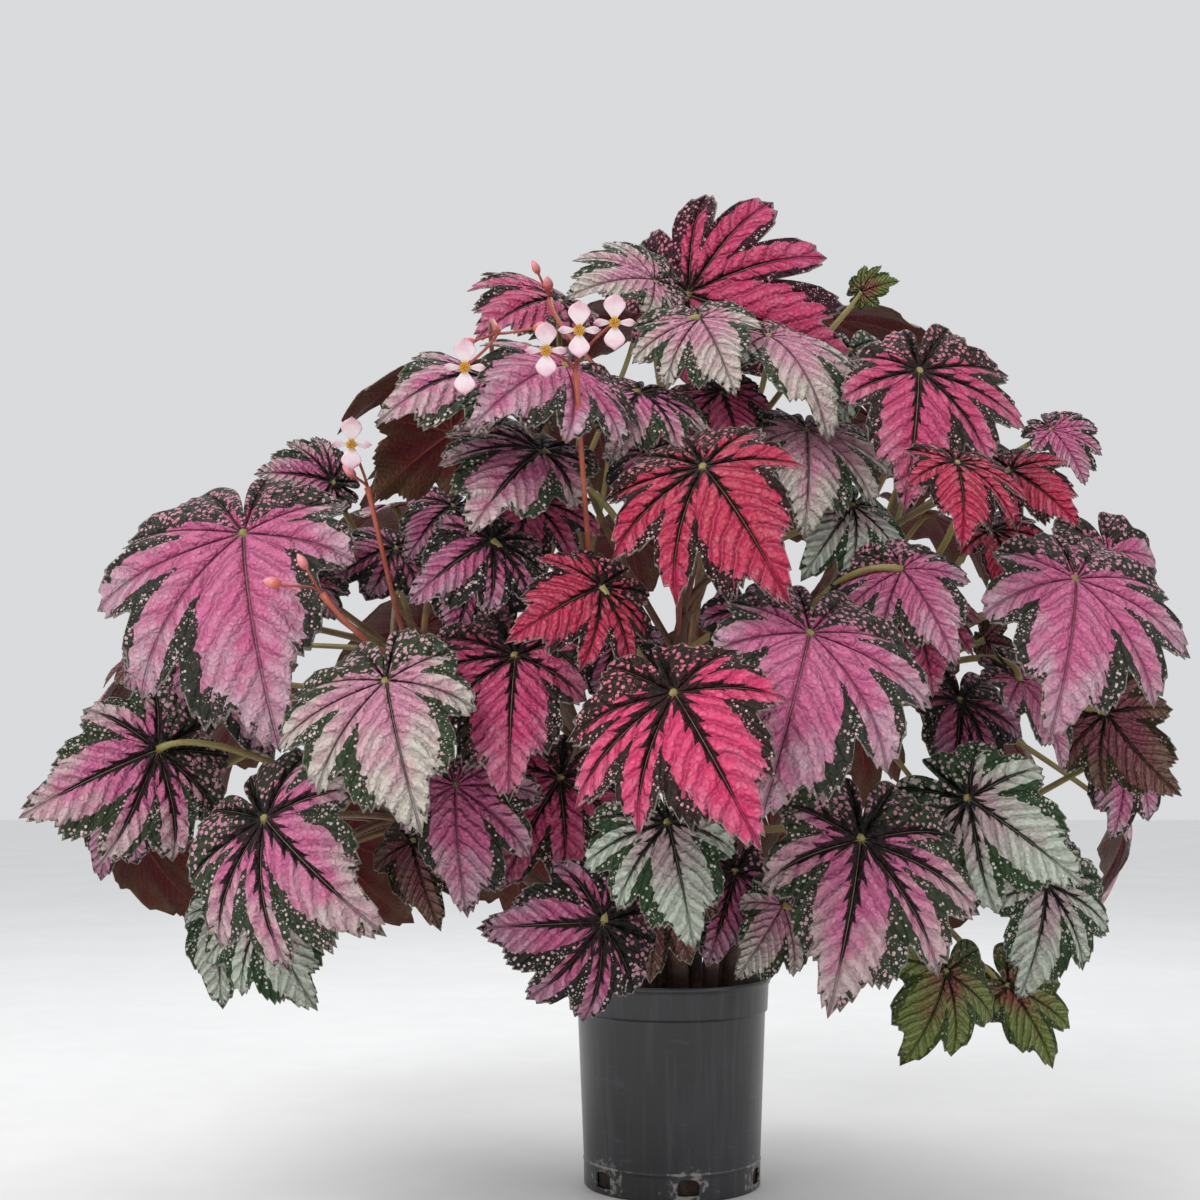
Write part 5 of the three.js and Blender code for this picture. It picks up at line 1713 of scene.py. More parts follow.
@dataclass(frozen=True)
class LeafUpper:
    """The upper side of a leaf: a coloured field, a dark star along the veins, and dotted dark margins.

    Attributes:
        star: the dark of the star's arms, which also gives the painted shade in the creases.
        midvein: the pale green line down each arm.
        thread: the fine side veins on the coloured field.
        joint: the tan spot over the petiole.
        rim: the pale line round the edge.
        dot: the dots in the dark margins, before they take some of the leaf's colour, and the pale of the
            painted highlight on the ridges.
        herring: how many side veins leave a main vein over the length of the midrib.
        arm: how wide half an arm of the star is at its root, as a share of the midrib.
        barb: how far it runs out along each side vein.
        vein: how wide half a main vein is.
        relief: how high the quilting stands, in metres.
    """

    star: Colour = shade(0x141611)
    midvein: Colour = shade(0x8FA36E)
    thread: Colour = shade(0xCFA0AE)
    joint: Colour = shade(0xA98F5C)
    rim: Colour = shade(0xA79C93)
    dot: Colour = shade(0xD6D2C9)
    herring: float = 9.0
    arm: float = 0.027
    barb: float = 0.058
    vein: float = 0.0032
    relief: float = 0.0026

    def field(self, bench: Bench, leaf: LeafPlaces) -> Wire:
        """The coloured field: blush fading to the tip's colour, painted shade in the creases, a painted
        highlight on the ridges broken by noise, and fine side veins.

        Args:
            bench: where the material is wired up.
            leaf: where a point is on the leaf.

        Returns:
            The colour.
        """
        faded = (leaf.out + leaf.drift * 0.9 + leaf.fade * 0.9 - 0.6).ease(0.25, 0.9)
        # Painted shade: the field darkens towards the star's colour in the creases of the quilting and along
        # the side veins.
        painted_crease_shade = (0.95 - leaf.pillow * 0.7 - leaf.puckers * 0.2).most(0.0)
        # Painted highlight: the ridges of the quilting turn towards the dots' pale colour, broken up by noise
        # like a frost.
        frost_and_painted_sheen = (leaf.pillow * 0.6 + leaf.puckers * 0.3 + leaf.grain * 1.4 + leaf.drift).ease(0.2, 1.4)
        threads = leaf.ribs.ease(0.42, 0.5) * leaf.aside * (0.34 - 0.2 * leaf.star).most(0.0)
        colour = bench.mix(painted_crease_shade * 0.34, bench.mix(faded, leaf.blush, leaf.tip), self.star)
        return bench.mix(threads, bench.mix(frost_and_painted_sheen * 0.17, colour, self.dot), self.thread)

    def margins(self, bench: Bench, leaf: LeafPlaces, colour: Wire) -> Wire:
        """Lays the dark zones over a colour, with their large dots and small specks.

        The zones start at a line that comes in from the rim at the notches and on the lobes beside the sinus.

        Args:
            bench: where the material is wired up.
            leaf: where a point is on the leaf.
            colour: the colour under them.

        Returns:
            The colour with the zones.
        """
        line = 1.03 - leaf.margin * (0.05 + 0.5 * leaf.between.ease(0.32, 1.0) + 0.72 * leaf.back_lobes)
        broken = leaf.out + leaf.drift * 0.34 + (leaf.herring - 0.5) * 0.10 * leaf.aside + leaf.grain * 0.07
        band = broken.ease(line - 0.012, line + 0.018)
        radius = 0.15 + 0.10 * leaf.dots + leaf.drift * 0.25 + 0.13 * leaf.back_lobes
        speck = bench.cells(520.0).ease(0.30, 0.20) * leaf.cloud.ease(0.46, 0.58)
        marks = (leaf.spot.ease(radius + 0.05, radius) + speck).least(1.0) * leaf.dots.ease(0.0, 0.25)
        inner = (0.25 + (line + 0.3 - leaf.out).ease(0.0, 0.35) * 0.5 + leaf.back_lobes * 0.5).least(0.85)
        marked = bench.mix(marks * 0.92, leaf.zone, bench.mix(inner, self.dot, leaf.blush))
        return bench.mix(band * 0.97, colour, marked)

    def arms(self, leaf: LeafPlaces) -> tuple[Wire, Wire]:
        """The star's arms: each tapers along its vein, with a barb at every side vein.

        Args:
            leaf: where a point is on the leaf.

        Returns:
            Where the arms are, and how far a point is from the vein as a share of the arm's width there.
        """
        taper = ((0.74 + 0.3 * leaf.basal - leaf.out) * 1.3).most(0.0)
        barb = (leaf.herring**3.0) * self.barb * leaf.aside
        width = leaf.star * (self.arm * taper**0.6 + barb * taper)
        ragged = leaf.off + leaf.drift * 0.014 + leaf.grain * 0.010
        arm = ragged.ease(width + 0.004, width - 0.003) * taper.ease(0.0, 0.08) * leaf.star.ease(0.0, 0.3)
        return arm, leaf.off / (width + 0.001)

    def made(self) -> bpy.types.Material:
        """Wires the material: the margins over the field, then the star, the veins, the joint and the rim.

        Returns:
            The material.
        """
        bench = Bench("leaf_upper")
        leaf = LeafPlaces(bench, self.herring)
        arm, outwards = self.arms(leaf)
        heart = (leaf.out + leaf.drift * 0.1).ease(0.10 * leaf.star + 0.02, 0.05 * leaf.star)
        dark = (arm + heart * leaf.star.ease(0.1, 0.5)).least(1.0)
        colour = self.margins(bench, leaf, self.field(bench, leaf))
        freckle = leaf.spot.ease(0.20, 0.14) * leaf.dots * arm * outwards.ease(0.4, 0.9)
        colour = bench.mix(dark * 0.96, colour, bench.mix(freckle * 0.8, self.star, leaf.blush))
        width = self.vein * (1.2 - leaf.out)
        vein = leaf.off.ease(width * 1.5, width * 0.6) * (0.3 + 0.6 * dark) * (1.1 - leaf.out)
        colour = bench.mix(vein, colour, bench.mix(0.3, self.midvein, leaf.tip))
        colour = bench.mix(leaf.out.ease(0.040, 0.022), colour, self.joint)
        colour = bench.mix(leaf.out.ease(0.972, 0.988) * 0.55, colour, self.rim)
        valley = leaf.off.ease(0.0, 0.010)
        height = valley * 0.9 + leaf.pillow + leaf.puckers * 0.38 + leaf.fine * 0.3 - arm * 0.2
        rough = 0.50 + leaf.grain * 0.24 + dark * 0.06
        normal = bench.bump(height, self.relief)
        return bench.finished(Base_Color=colour, Roughness=rough, Specular_IOR_Level=0.17, Normal=normal)


@dataclass(frozen=True)
class LeafUnder:
    """The underside of a leaf: dull maroon to olive, with raised veins.

    Attributes:
        maroon: the colour of its middle.
        olive: the colour that it turns to towards the edge.
        vein: the colour of the veins.
    """

    maroon: Colour = shade(0x5A1F22)
    olive: Colour = shade(0x5E4630)
    vein: Colour = shade(0x8A4436)

    def made(self) -> bpy.types.Material:
        """Wires the material.

        Returns:
            The material.
        """
        bench = Bench("leaf_under")
        out, between, _ = bench.carried("place").parts()
        ahead, off, _ = bench.carried("veins").parts()
        cloud, fine = bench.noise(40.0), bench.noise(380.0, 2.0)
        feather = (ahead * 17.0).fraction()
        colour = bench.mix((out + (cloud - 0.5) * 1.4).ease(0.45, 1.1), self.maroon, self.olive)
        side_vein = (feather - 0.5).size().ease(0.40, 0.5) * off.ease(0.0, 0.01)
        main_vein = off.ease(0.011 * (1.2 - out), 0.005 * (1.2 - out))
        veins = (side_vein * 0.6 + main_vein).least(1.0)
        colour = bench.mix(veins * 0.75, colour, self.vein)
        colour = bench.mix(between.ease(0.4, 1.0) * 0.2, colour, self.olive)
        height = veins * 0.9 + bench.cells(230.0, edges=True).ease(0.35, 0.0) * 0.5 + fine * 0.3
        rough = 0.5 + (fine - 0.5) * 0.2
        normal = bench.bump(height, 0.0012, 0.9)
        return bench.finished(Base_Color=colour, Roughness=rough, Specular_IOR_Level=0.2, Normal=normal)


@dataclass(frozen=True)
class Stalky:
    """A finish of stalks: streaked along them, and turning from one colour to another towards their end.

    Attributes:
        name: the material's name.
        foot: the colour at the foot.
        head: the colour at the end.
        streak: the colour of the streaks.
        rough: how rough it is.
    """

    name: str
    foot: Colour
    head: Colour
    streak: Colour
    rough: float

    def made(self) -> bpy.types.Material:
        """Wires the material.

        Returns:
            The material.
        """
        bench = Bench(self.name)
        along, around, _ = bench.carried("place").parts()
        cloud, fine = bench.noise(70.0), bench.noise(520.0, 3.0)
        colour = bench.mix((along + (cloud - 0.5) * 0.8).ease(0.1, 0.9), self.foot, self.head)
        streaks = (fine + (cloud - 0.5)).ease(0.5, 0.75)
        colour = bench.mix(streaks * 0.45, colour, self.streak)
        height = fine + (around * 9.0).fraction() * 0.15
        rough = self.rough + (fine - 0.5) * 0.2
        return bench.finished(Base_Color=colour, Roughness=rough, Normal=bench.bump(height, 0.0005, 0.6))


@dataclass(frozen=True)
class Petal:
    """Petals: pale, pinker towards the rim, with faint lengthwise veins.

    Attributes:
        pale: the colour near the middle.
        pink: the colour of the rim and the veins.
    """

    pale: Colour = shade(0xF3E3E6)
    pink: Colour = shade(0xE3A5B8)

    def made(self) -> bpy.types.Material:
        """Wires the material.

        Returns:
            The material.
        """
        bench = Bench("petal")
        out, across, _ = bench.carried("place").parts()
        cloud = bench.noise(140.0)
        veins = ((across * 7.0).fraction() - 0.5).size().ease(0.5, 0.35)
        colour = bench.mix((out + (cloud - 0.5) * 0.9).ease(0.4, 1.1) * 0.8, self.pale, self.pink)
        colour = bench.mix((1.0 - veins) * 0.18, colour, self.pink)
        rough = 0.5 + (cloud - 0.5) * 0.2
        normal = bench.bump(veins + cloud * 0.4, 0.0003, 0.7)
        return bench.finished(Base_Color=colour, Roughness=rough, Normal=normal)


@dataclass(frozen=True)
class Speckled:
    """A plain finish broken up by two grains of noise.

    Attributes:
        name: the material's name.
        main: its main colour.
        other: the colour that it is broken up with.
        scale: the coarse grain, in waves to the metre.
        rough: how rough it is.
        relief: how high its grain stands, in metres.
    """

    name: str
    main: Colour
    other: Colour
    scale: float
    rough: float
    relief: float

    def made(self) -> bpy.types.Material:
        """Wires the material.

        Returns:
            The material.
        """
        bench = Bench(self.name)
        coarse, fine = bench.noise(self.scale), bench.noise(self.scale * 6.0, 3.0)
        colour = bench.mix((coarse * 0.6 + fine * 0.4).ease(0.38, 0.62), self.main, self.other)
        rough = self.rough + (fine - 0.5) * 0.25
        normal = bench.bump(coarse + fine * 0.6, self.relief, 0.8)
        return bench.finished(Base_Color=colour, Roughness=rough, Normal=normal)


@dataclass(frozen=True)
class CanPlastic:
    """The can's dark plastic: satin, faintly streaked downwards, scuffed, with a pale crust near the holes.

    Attributes:
        plastic: its main colour.
        shadow: the darker colour that it clouds to.
        worn: the colour of the streaks and scuffs.
        crust: the colour of the dried crust.
    """

    plastic: Colour = shade(0x27282C)
    shadow: Colour = shade(0x18191C)
    worn: Colour = shade(0x3E4044)
    crust: Colour = shade(0x9A978F)

    def made(self) -> bpy.types.Material:
        """Wires the material; the piece carries where crust has dried and where the rim is rubbed.

        Returns:
            The material.
        """
        bench = Bench("can_plastic")
        crusted, rubbed, _ = bench.carried("wear").parts()
        streak = bench.noise(1.0, 4.0, bench.stretched(190.0, 190.0, 9.0))
        cloud, fine, broad = bench.noise(26.0), bench.noise(900.0, 3.0), bench.noise(11.0)
        scuff = bench.noise(1.0, 5.0, bench.stretched(60.0, 60.0, 240.0))
        colour = bench.mix(broad.ease(0.42, 0.62), self.shadow, self.plastic)
        colour = bench.mix(streak.ease(0.45, 0.75) * 0.5, colour, self.worn)
        colour = bench.mix((scuff + cloud * 0.5).ease(0.86, 1.0) * 0.5, colour, self.worn)
        colour = bench.mix((rubbed + (fine - 0.5)).ease(0.45, 0.9) * 0.6, colour, self.worn)
        flakes = bench.noise(210.0, 4.0)
        white = (crusted + (cloud - 0.5) * 0.9 + (flakes - 0.5) * 2.4).ease(0.45, 0.95)
        white = white * crusted.ease(0.0, 0.3)
        colour = bench.mix(white * 0.8, colour, self.crust)
        rough = (0.24 + streak * 0.14 + (fine - 0.5) * 0.12 + white * 0.45).least(1.0)
        height = fine * 0.4 + streak * 0.5 + white * 1.2
        normal = bench.bump(height, 0.0003, 0.6)
        return bench.finished(Base_Color=colour, Roughness=rough, Specular_IOR_Level=0.62, Normal=normal)


SILVERY = (Look.SILVER, Look.PEARL, Look.OLIVE, Look.RUST)
ROSY = (Look.ROSE, Look.HOT, Look.CRIMSON)


@dataclass
class Foliage:
    """The leafy stems: for each its wood, its petioles with their hairs, its blades and its sprays.

    Attributes:
        full: how the leaves that show from the front are cut.
        plain: how the hidden leaves and those behind are cut.
        foot: a stem's radius at its foot, in millimetres.
        head: its radius at its head.
        root_level: the level that its buried foot starts at.
        scars: how many old leaf scars it has.
        petiole: a petiole's radius at the blade.
        petiole_root: its radius at the stem.
        swelling: how much thicker it is just under the blade.
        tuck: how far under the middle of the blade it ends.
        rings: how many rings it has.
        hairs: how many hairs a petiole in front has.
        hair_length: how long a hair is.
        hair_radius: its radius at its root.
    """

    full: LeafCut = LeafCut()
    plain: LeafCut = LeafCut(steps=6, rows=9, teeth=2)
    foot: float = 7.0
    head: float = 4.0
    root_level: float = 103.0
    scars: int = 9
    petiole: float = 2.2
    petiole_root: float = 3.3
    swelling: float = 0.9
    tuck: float = 0.6
    rings: int = 26
    hairs: int = 110
    hair_length: float = 2.6
    hair_radius: float = 0.14

    def build(self, stems: list[Stem]) -> None:
        """Builds and dresses every stem.

        Args:
            stems: the grown stems.
        """
        upper, under = LeafUpper().made(), LeafUnder().made()
        green = Stalky("petiole_skin", shade(0x5A3324), shade(0x8C8446), shade(0x8A4A38), 0.45).made()
        brown = Stalky("wood_skin", shade(0x35201A), shade(0x50301F), shade(0x7A5238), 0.6).made()
        orange = Stalky("stalk_skin", shade(0x7E3222), shade(0xA64E36), shade(0xB8705A), 0.4).made()
        coral = Stalky("bud_skin", shade(0xC9604E), shade(0xE08A90), shade(0xE9A9A8), 0.45).made()
        hair = Stalky("hair_skin", shade(0xC9B59A), shade(0xE2D6C2), shade(0xB08A70), 0.5).made()
        for stem in stems:
            node = stem.name
            cuts = [(self.plain if blade.plain else self.full).shape(blade) for blade in stem.blades]
            Shape.joined(cuts).piece(node + "_blades", [upper, under], node, self.tone(stem))
            tubes = [self.petiole_tube(blade) for blade in stem.blades]
            Shape.joined(tubes).piece(node + "_petioles", [green], node, "petiole")
            self.wood(stem).piece(node + "_wood", [brown], node, "stem")
            if stem.blades[0].front:
                downy = [self.down(blade, seed) for seed, blade in enumerate(stem.blades)]
                Shape.joined(downy).piece(node + "_hairs", [hair], node, "petiole")
            if stem.sprays:
                stalks = [part for spray in stem.sprays for part in Bloom().stalks(spray)]
                Shape.joined(stalks).piece(node + "_stalks", [orange, coral], node, "petal")

    def tone(self, stem: Stem) -> str:
        """The record's slot that most of a stem's leaves go by.

        Args:
            stem: the stem.

        Returns:
            The slot's name.
        """
        looks = [blade.look for blade in stem.blades]
        if 2 * sum(look in SILVERY for look in looks) > len(looks):
            return "leaf_silver"
        return "leaf_rose" if 2 * sum(look in ROSY for look in looks) > len(looks) else "leaf_orchid"

    def petiole_line(self, blade: Blade, count: int) -> Array:
        """The middle line of a petiole, which ends just under its blade."""
        share = np.linspace(0, 1, count)
        return cubic(blade.petiole, share) - blade.normal * self.tuck * share[:, None] ** 6

    def petiole_tube(self, blade: Blade) -> Shape:
        """A petiole: thickest at the stem, and swelling again just under the blade.

        Args:
            blade: its blade.

        Returns:
            The tube.
        """
        share = np.linspace(0, 1, self.rings)
        radius = self.petiole_root + (self.petiole - self.petiole_root) * share**0.7
        radius = radius + self.swelling * np.exp(-(((1 - share) / 0.05) ** 2))
        return tube(self.petiole_line(blade, self.rings), radius, 9)

    def down(self, blade: Blade, seed: int) -> Shape:
        """The fine hairs of a petiole: thin three-sided spikes, leaning a little towards the blade.

        Args:
            blade: the petiole's blade.
            seed: what its draws start from.

        Returns:
            The hairs as one shape.
        """
        draws = np.random.default_rng(1000 * int(abs(blade.at[0])) + seed)
        line = self.petiole_line(blade, 400)
        pick = draws.integers(60, 398, self.hairs)
        ahead = unit(line[pick + 1] - line[pick])
        aside = unit(np.cross(ahead, draws.normal(size=(self.hairs, 3))))
        out = unit(aside + 0.35 * ahead + 0.15 * draws.normal(size=(self.hairs, 3)))
        length = self.hair_length * draws.uniform(0.55, 1.25, self.hairs)
        root = line[pick] + aside * (self.petiole - 0.1)
        first = unit(np.cross(out, ahead))
        second = np.cross(out, first)
        turn = 2 * math.pi * np.arange(3) / 3
        spread = first[:, None] * np.cos(turn)[:, None] + second[:, None] * np.sin(turn)[:, None]
        tip = root + out * length[:, None]
        corners = np.concatenate([root[:, None] + self.hair_radius * spread, tip[:, None]], axis=1)
        sides = np.array([[0, 1, 3], [1, 2, 3], [2, 0, 3], [2, 1, 0]])
        faces = (np.arange(self.hairs)[:, None, None] * 4 + sides).reshape(-1, 3)
        shape = Shape(corners.reshape(-1, 3), np.zeros((0, 4), dtype=np.int64), faces)
        return shape.carrying("place", np.tile([0.0, 0.0, 0.0, 1.0], self.hairs), 0.0, 0.0)

    def wood(self, stem: Stem, rings: int = 44) -> Shape:
        """A stem: thick at its foot, with a swollen ring at every old leaf scar.

        Args:
            stem: the stem.
            rings: how many rings its tube has.

        Returns:
            The tube.
        """
        share = np.linspace(0, 1, rings)
        line = cubic(stem.curve, share)
        buried = stem.foot + vec(0, 0, 1) * np.linspace(self.root_level, line[0, 2], 5)[:-1, None]
        run = np.concatenate([np.zeros(4), share])
        radius = self.foot + (self.head - self.foot) * np.clip(1.6 * run - 0.6, 0, 1)
        knots = np.exp(-(((np.mod(run * self.scars + 0.3, 1.0) - 0.5) / 0.16) ** 2))
        return tube(np.concatenate([buried, line]), radius * (0.9 + 0.16 * knots), 14)


@dataclass
class Bloom:
    """The flowers and their stalks.

    Attributes:
        stalk: a stalk's radius.
        pedicel: a pedicel's radius.
        bud_length: how long a bud is.
        bud_radius: its radius.
        cup: how far the petals' tips stand above their middle.
        thickness: a petal's thickness at its foot.
        stamens: how many stamens a flower has.
        stamen_turn: the turn from one to the next, by the golden section, in radians.
    """

    stalk: float = 1.8
    pedicel: float = 1.0
    bud_length: float = 13.0
    bud_radius: float = 4.0
    cup: float = 3.0
    thickness: float = 0.8
    stamens: int = 34
    stamen_turn: float = 2.39996

    def pedicel_line(self, spray: Spray, end: Array, facing: Array, count: int = 18) -> Array:
        """The middle line of a pedicel: on from the stalk, then turning to come in behind its flower.

        Args:
            spray: the spray.
            end: where it ends.
            facing: the way that the flower faces.
            count: how many points the line has.

        Returns:
            The points.
        """
        ahead = heading(spray.stalk, 1.0)
        start = spray.fork - ahead * self.pedicel
        reach = 0.4 * float(np.linalg.norm(spray.fork - end))
        controls = np.stack([start, start + ahead * reach, end - facing * reach, end])
        return cubic(controls, np.linspace(0, 1, count))

    def stalks(self, spray: Spray) -> list[Shape]:
        """A spray's stalk, pedicels and buds.

        Args:
            spray: the spray.

        Returns:
            Their shapes.
        """
        share = np.linspace(0, 1, 34)
        knee = 0.25 * np.exp(-(((share - 0.62) / 0.02) ** 2))
        radius = self.stalk * (1 + 0.5 * np.exp(-(((1 - share) / 0.03) ** 2)) + knee)
        shapes = [tube(cubic(spray.stalk, share), radius, 10)]
        for flower in spray.flowers:
            line = self.pedicel_line(spray, flower - spray.facing * (self.thickness + 0.6), spray.facing)
            shapes.append(tube(line, np.full(len(line), self.pedicel), 8))
        for bud in spray.buds:
            way = unit(bud - spray.fork)
            foot = bud - way * self.bud_length / 2
            line = self.pedicel_line(spray, foot + way * 0.6, way)
            shapes.append(tube(line, np.full(len(line), self.pedicel), 8))
            run = np.linspace(0, 1, 16)
            girth = self.bud_radius * np.sin(math.pi * run) ** 0.7 * (1.1 - 0.35 * run)
            bulb = tube(foot + way * self.bud_length * run[:, None], np.maximum(girth, 0.05), 16, 0.12)
            shapes.append(bulb.marked(1))
        return shapes

    def petals(self, middle: Array, facing: Array) -> Shape:
        """The four petals of a flower: two broad and two narrow, cupped, each a thin shell.

        Args:
            middle: the middle of the flower.
            facing: the way that it faces.

        Returns:
            The petals.
        """
        aside = unit(np.cross(vec(0, 0, 1), facing))
        upward = np.cross(facing, aside)
        run = np.linspace(0.06, 1, 13)[:, None]
        across = np.linspace(-1, 1, 13)[None, :]
        shells = []
        for i, (turn, half, length) in enumerate(PETALS):
            width = half * (1 - 0.25 * (1 - run) ** 2) * np.sqrt(np.maximum(1 - run**7, 0.003))
            angle = turn + width * across
            radius = length * run * (1 - 0.13 * across**2)
            ripple = 0.9 * np.sin(3 * across + i) * run**3
            height = self.cup * radius / PETALS[1].length + ripple + 0.05 * i
            plane = radius[..., None] * (np.cos(angle)[..., None] * aside + np.sin(angle)[..., None] * upward)
            thick = self.thickness * (1 - 0.45 * run) + 0 * across
            shell = sheet_shell(middle + plane + height[..., None] * facing, thick, False).marked(0)
            both = [np.tile((value + 0 * run * across).ravel(), 2) for value in (run, across)]
            shells.append(shell.carrying("place", *both, 0.0))
        return Shape.joined(shells)

    def stamen_cluster(self, middle: Array, facing: Array) -> Shape:
        """The bunch of yellow stamens, set out by the golden angle over a small dome.

        Args:
            middle: the middle of the flower.
            facing: the way that it faces.

        Returns:
            The stamens.
        """
        aside = unit(np.cross(vec(0, 0, 1), facing))
        upward = np.cross(facing, aside)
        rods = []
        for k in range(self.stamens):
            turn, lean = self.stamen_turn * k, math.sqrt((k + 0.5) / self.stamens)
            out = aside * math.cos(turn) + upward * math.sin(turn)
            way = unit(facing + out * 0.9 * lean)
            root = middle + out * lean * 1.6
            line = root + way * np.array([[-0.2], [1.6], [2.4], [3.0], [3.5]])
            rods.append(tube(line, vec(0.22, 0.22, 0.6, 0.62, 0.15), 5))
        return Shape.joined(rods)

    def build(self, stems: list[Stem]) -> None:
        """Builds every flower, numbered in the order of the stems and their sprays.

        Args:
            stems: the grown stems.
        """
        petal = Petal().made()
        yellow = Speckled("stamen", shade(0xE7B93A), shade(0xC98A22), 900.0, 0.55, 0.0001).made()
        sprays = [spray for stem in stems for spray in stem.sprays]
        blooms = [(flower, spray.facing) for spray in sprays for flower in spray.flowers]
        for number, bloom in enumerate(blooms, start=1):
            node = f"flower_{number}"
            self.petals(*bloom).piece(node + "_petals", [petal], node, "petal")
            self.stamen_cluster(*bloom).piece(node + "_stamens", [yellow], node, "petal")


@dataclass
class Can:
    """The nursery can: a thin moulded shell with a rolled rim, a collar, a groove and drain holes.

    Attributes:
        height: its height.
        rim: the radius of its rim.
        collar: the level where the collar starts.
        top: the body's radius under the collar.
        foot: its radius at the foot.
        wall: the thickness of its wall.
        floor: the thickness of its floor.
        groove: the level of the groove round it.
        columns: how many columns its mesh has.
        holes: how many drain holes it has.
        hole_width: how wide a hole is.
        hole_height: how high.
        sill: the level of a hole's lower edge.
        hole_turn: how far round the first hole is from straight forward.
        block: how many columns to either side of a hole's middle are its own mesh.
        block_foot: the level where that mesh starts.
        block_head: the level where it ends.
    """

    height: float = 170.0
    rim: float = 84.0
    collar: float = 144.0
    top: float = 79.5
    foot: float = 74.0
    wall: float = 2.0
    floor: float = 3.0
    groove: float = 21.0
    columns: int = 192
    holes: int = 6
    hole_width: float = 18.0
    hole_height: float = 13.0
    sill: float = 5.0
    hole_turn: float = math.radians(8.0)
    block: int = 6
    block_foot: float = 3.0
    block_head: float = 20.0

    def outer(self) -> Array:
        """Works out the outer profile from foot to rim, finely stepped where it turns.

        Returns:
            Rows of a radius and a level.
        """
        foot, collar, rim, top, lip = self.foot, self.collar, self.rim, self.height, self.rim - 1.4
        slope = (self.top - foot - 0.3) / (collar - 1.5 - 22.5)
        body = np.linspace(23.2, collar - 2.2, 30)
        parts = [
            [(foot - 1.0, 0.0), (foot - 0.2, 0.25), (foot, 1.0), (foot + 0.05, self.block_foot)],
            [(foot + 0.05 + 0.03 * k, self.block_foot + 2.125 * k) for k in range(1, 9)],
            [(foot + 0.5, 20.5), (foot + 0.8, 21.0), (foot + 0.75, 21.5), (foot + 0.3, 22.4)],
            [(foot + 0.3 + slope * (z - 22.5), z) for z in body],
            [(self.top, collar - 1.4), (self.top + 0.9, collar - 1.1), (lip - 1.6, collar - 0.5)],
            [(lip - 1.2, collar), (lip - 1.1, collar + 0.8)],
            [(lip - 1.1 + 1.1 * k / 8, collar + 0.8 + 20.0 * k / 8) for k in range(1, 9)],
            [(lip + 0.5, top - 4.1), (rim - 0.2, top - 3.4), (rim, top - 2.6), (rim, top - 0.9)],
            [(rim - 0.4, top - 0.2), (rim - 1.2, top)],
        ]
        return np.array([pair for part in parts for pair in part])

    def inner(self) -> Array:
        """Works out the inner profile from the rim down to the floor.

        Returns:
            Rows of a radius and a level.
        """
        rim, top, base = self.rim, self.height, self.foot - self.wall - 0.4
        slope = (self.top - self.foot) / self.collar
        levels = (*np.linspace(self.collar - 2, 22, 16), *np.linspace(self.block_head, 3.4, 9))
        parts = [
            [(rim - 2.6, top), (rim - 3.4, top - 0.4), (rim - 3.6, top - 1.4)],
            [(self.top - self.wall + 0.6, self.collar + 3), (self.top - self.wall, self.collar)],
            [(base + slope * z, z) for z in levels],
        ]
        return np.array([pair for part in parts for pair in part])

    def hole_edge(self, x: Array, z: Array) -> Array:
        """How far in from a point of the block the hole's edge lies, as a share of the point's distance.

        The edge is a superellipse: nearly square below the middle and rounder above it.

        Args:
            x: how far it is aside of the hole's middle.
            z: how far it is above it.

        Returns:
            The shares.
        """
        power = np.where(z < 0, 9.0, 2.6)
        across = np.abs(x) / (self.hole_width / 2)
        upward = np.abs(z) / (self.hole_height / 2)
        return (across**power + upward**power) ** (-1 / power)

    def shape(self) -> Shape:
        """The can as one closed shell.

        Its wall is a grid of rings. Round each drain hole the grid's cells give way to a block of rings that
        run from the block's border to the hole's edge, on the outer and the inner wall, and a band joins
        the two.

        Returns:
            The shell, whose points carry where crust has dried and where the rim is rubbed.
        """
        outer, inner = self.outer(), self.inner()
        profile = np.concatenate([outer, inner])
        turn = 2 * math.pi * np.arange(self.columns) / self.columns + self.hole_turn - math.pi / 2
        circle = np.stack([np.cos(turn), np.sin(turn)], axis=-1)
        flat = profile[:, None, :1] * circle
        level = np.broadcast_to(profile[:, None, 1:], (len(profile), self.columns, 1))
        points = [np.concatenate([flat, level], axis=-1).reshape(-1, 3)]
        quads = grid_quads(len(profile), self.columns, True)
        low = int(np.argmin(np.abs(outer[:, 1] - self.block_foot)))
        high = int(np.argmin(np.abs(outer[:, 1] - self.block_head)))
        inner_low = len(profile) - 1
        inner_high = len(outer) + int(np.argmin(np.abs(inner[:, 1] - self.block_head)))
        keep = np.ones(quads.shape[:2], dtype=bool)
        patches = []
        start = len(points[0])
        pitch = self.columns // self.holes
        for k in range(self.holes):
            run = (np.arange(-self.block, self.block + 1) + pitch * k) % self.columns
            cells = run[:-1]
            keep[low:high, cells] = False
            keep[inner_high:inner_low, cells] = False
            middle = self.hole_turn - math.pi / 2 + 2 * math.pi * k / self.holes
            rims = []
            for first, last, flip in ((low, high, False), (inner_low, inner_high, True)):
                loop = self.block_loop(run, first, last)
                extra, faces, rim = self.block_rings(points[0], loop, middle, start, flip)
                points.append(extra)
                patches.append(faces)
                rims.append(rim)
                start += len(extra)
            near, far = rims
            patches.append(np.stack([near, np.roll(near, -1), np.roll(far, -1), far], axis=1))
        caps = []
        for row, level_z in ((0, 0.0), (len(profile) - 1, self.floor)):
            loop = row * self.columns + np.arange(self.columns)
            beside = np.roll(loop, -1)
            pole = np.full(self.columns, start)
            points.append(vec(0, 0, level_z)[None])
            start += 1
            caps.append(np.stack([beside, loop, pole] if row == 0 else [loop, beside, pole], axis=1))
        places = np.concatenate(points)
        faces = np.concatenate([quads[keep], *patches])
        return Shape(places, faces, np.concatenate(caps)).carrying("wear", *self.wear(places))

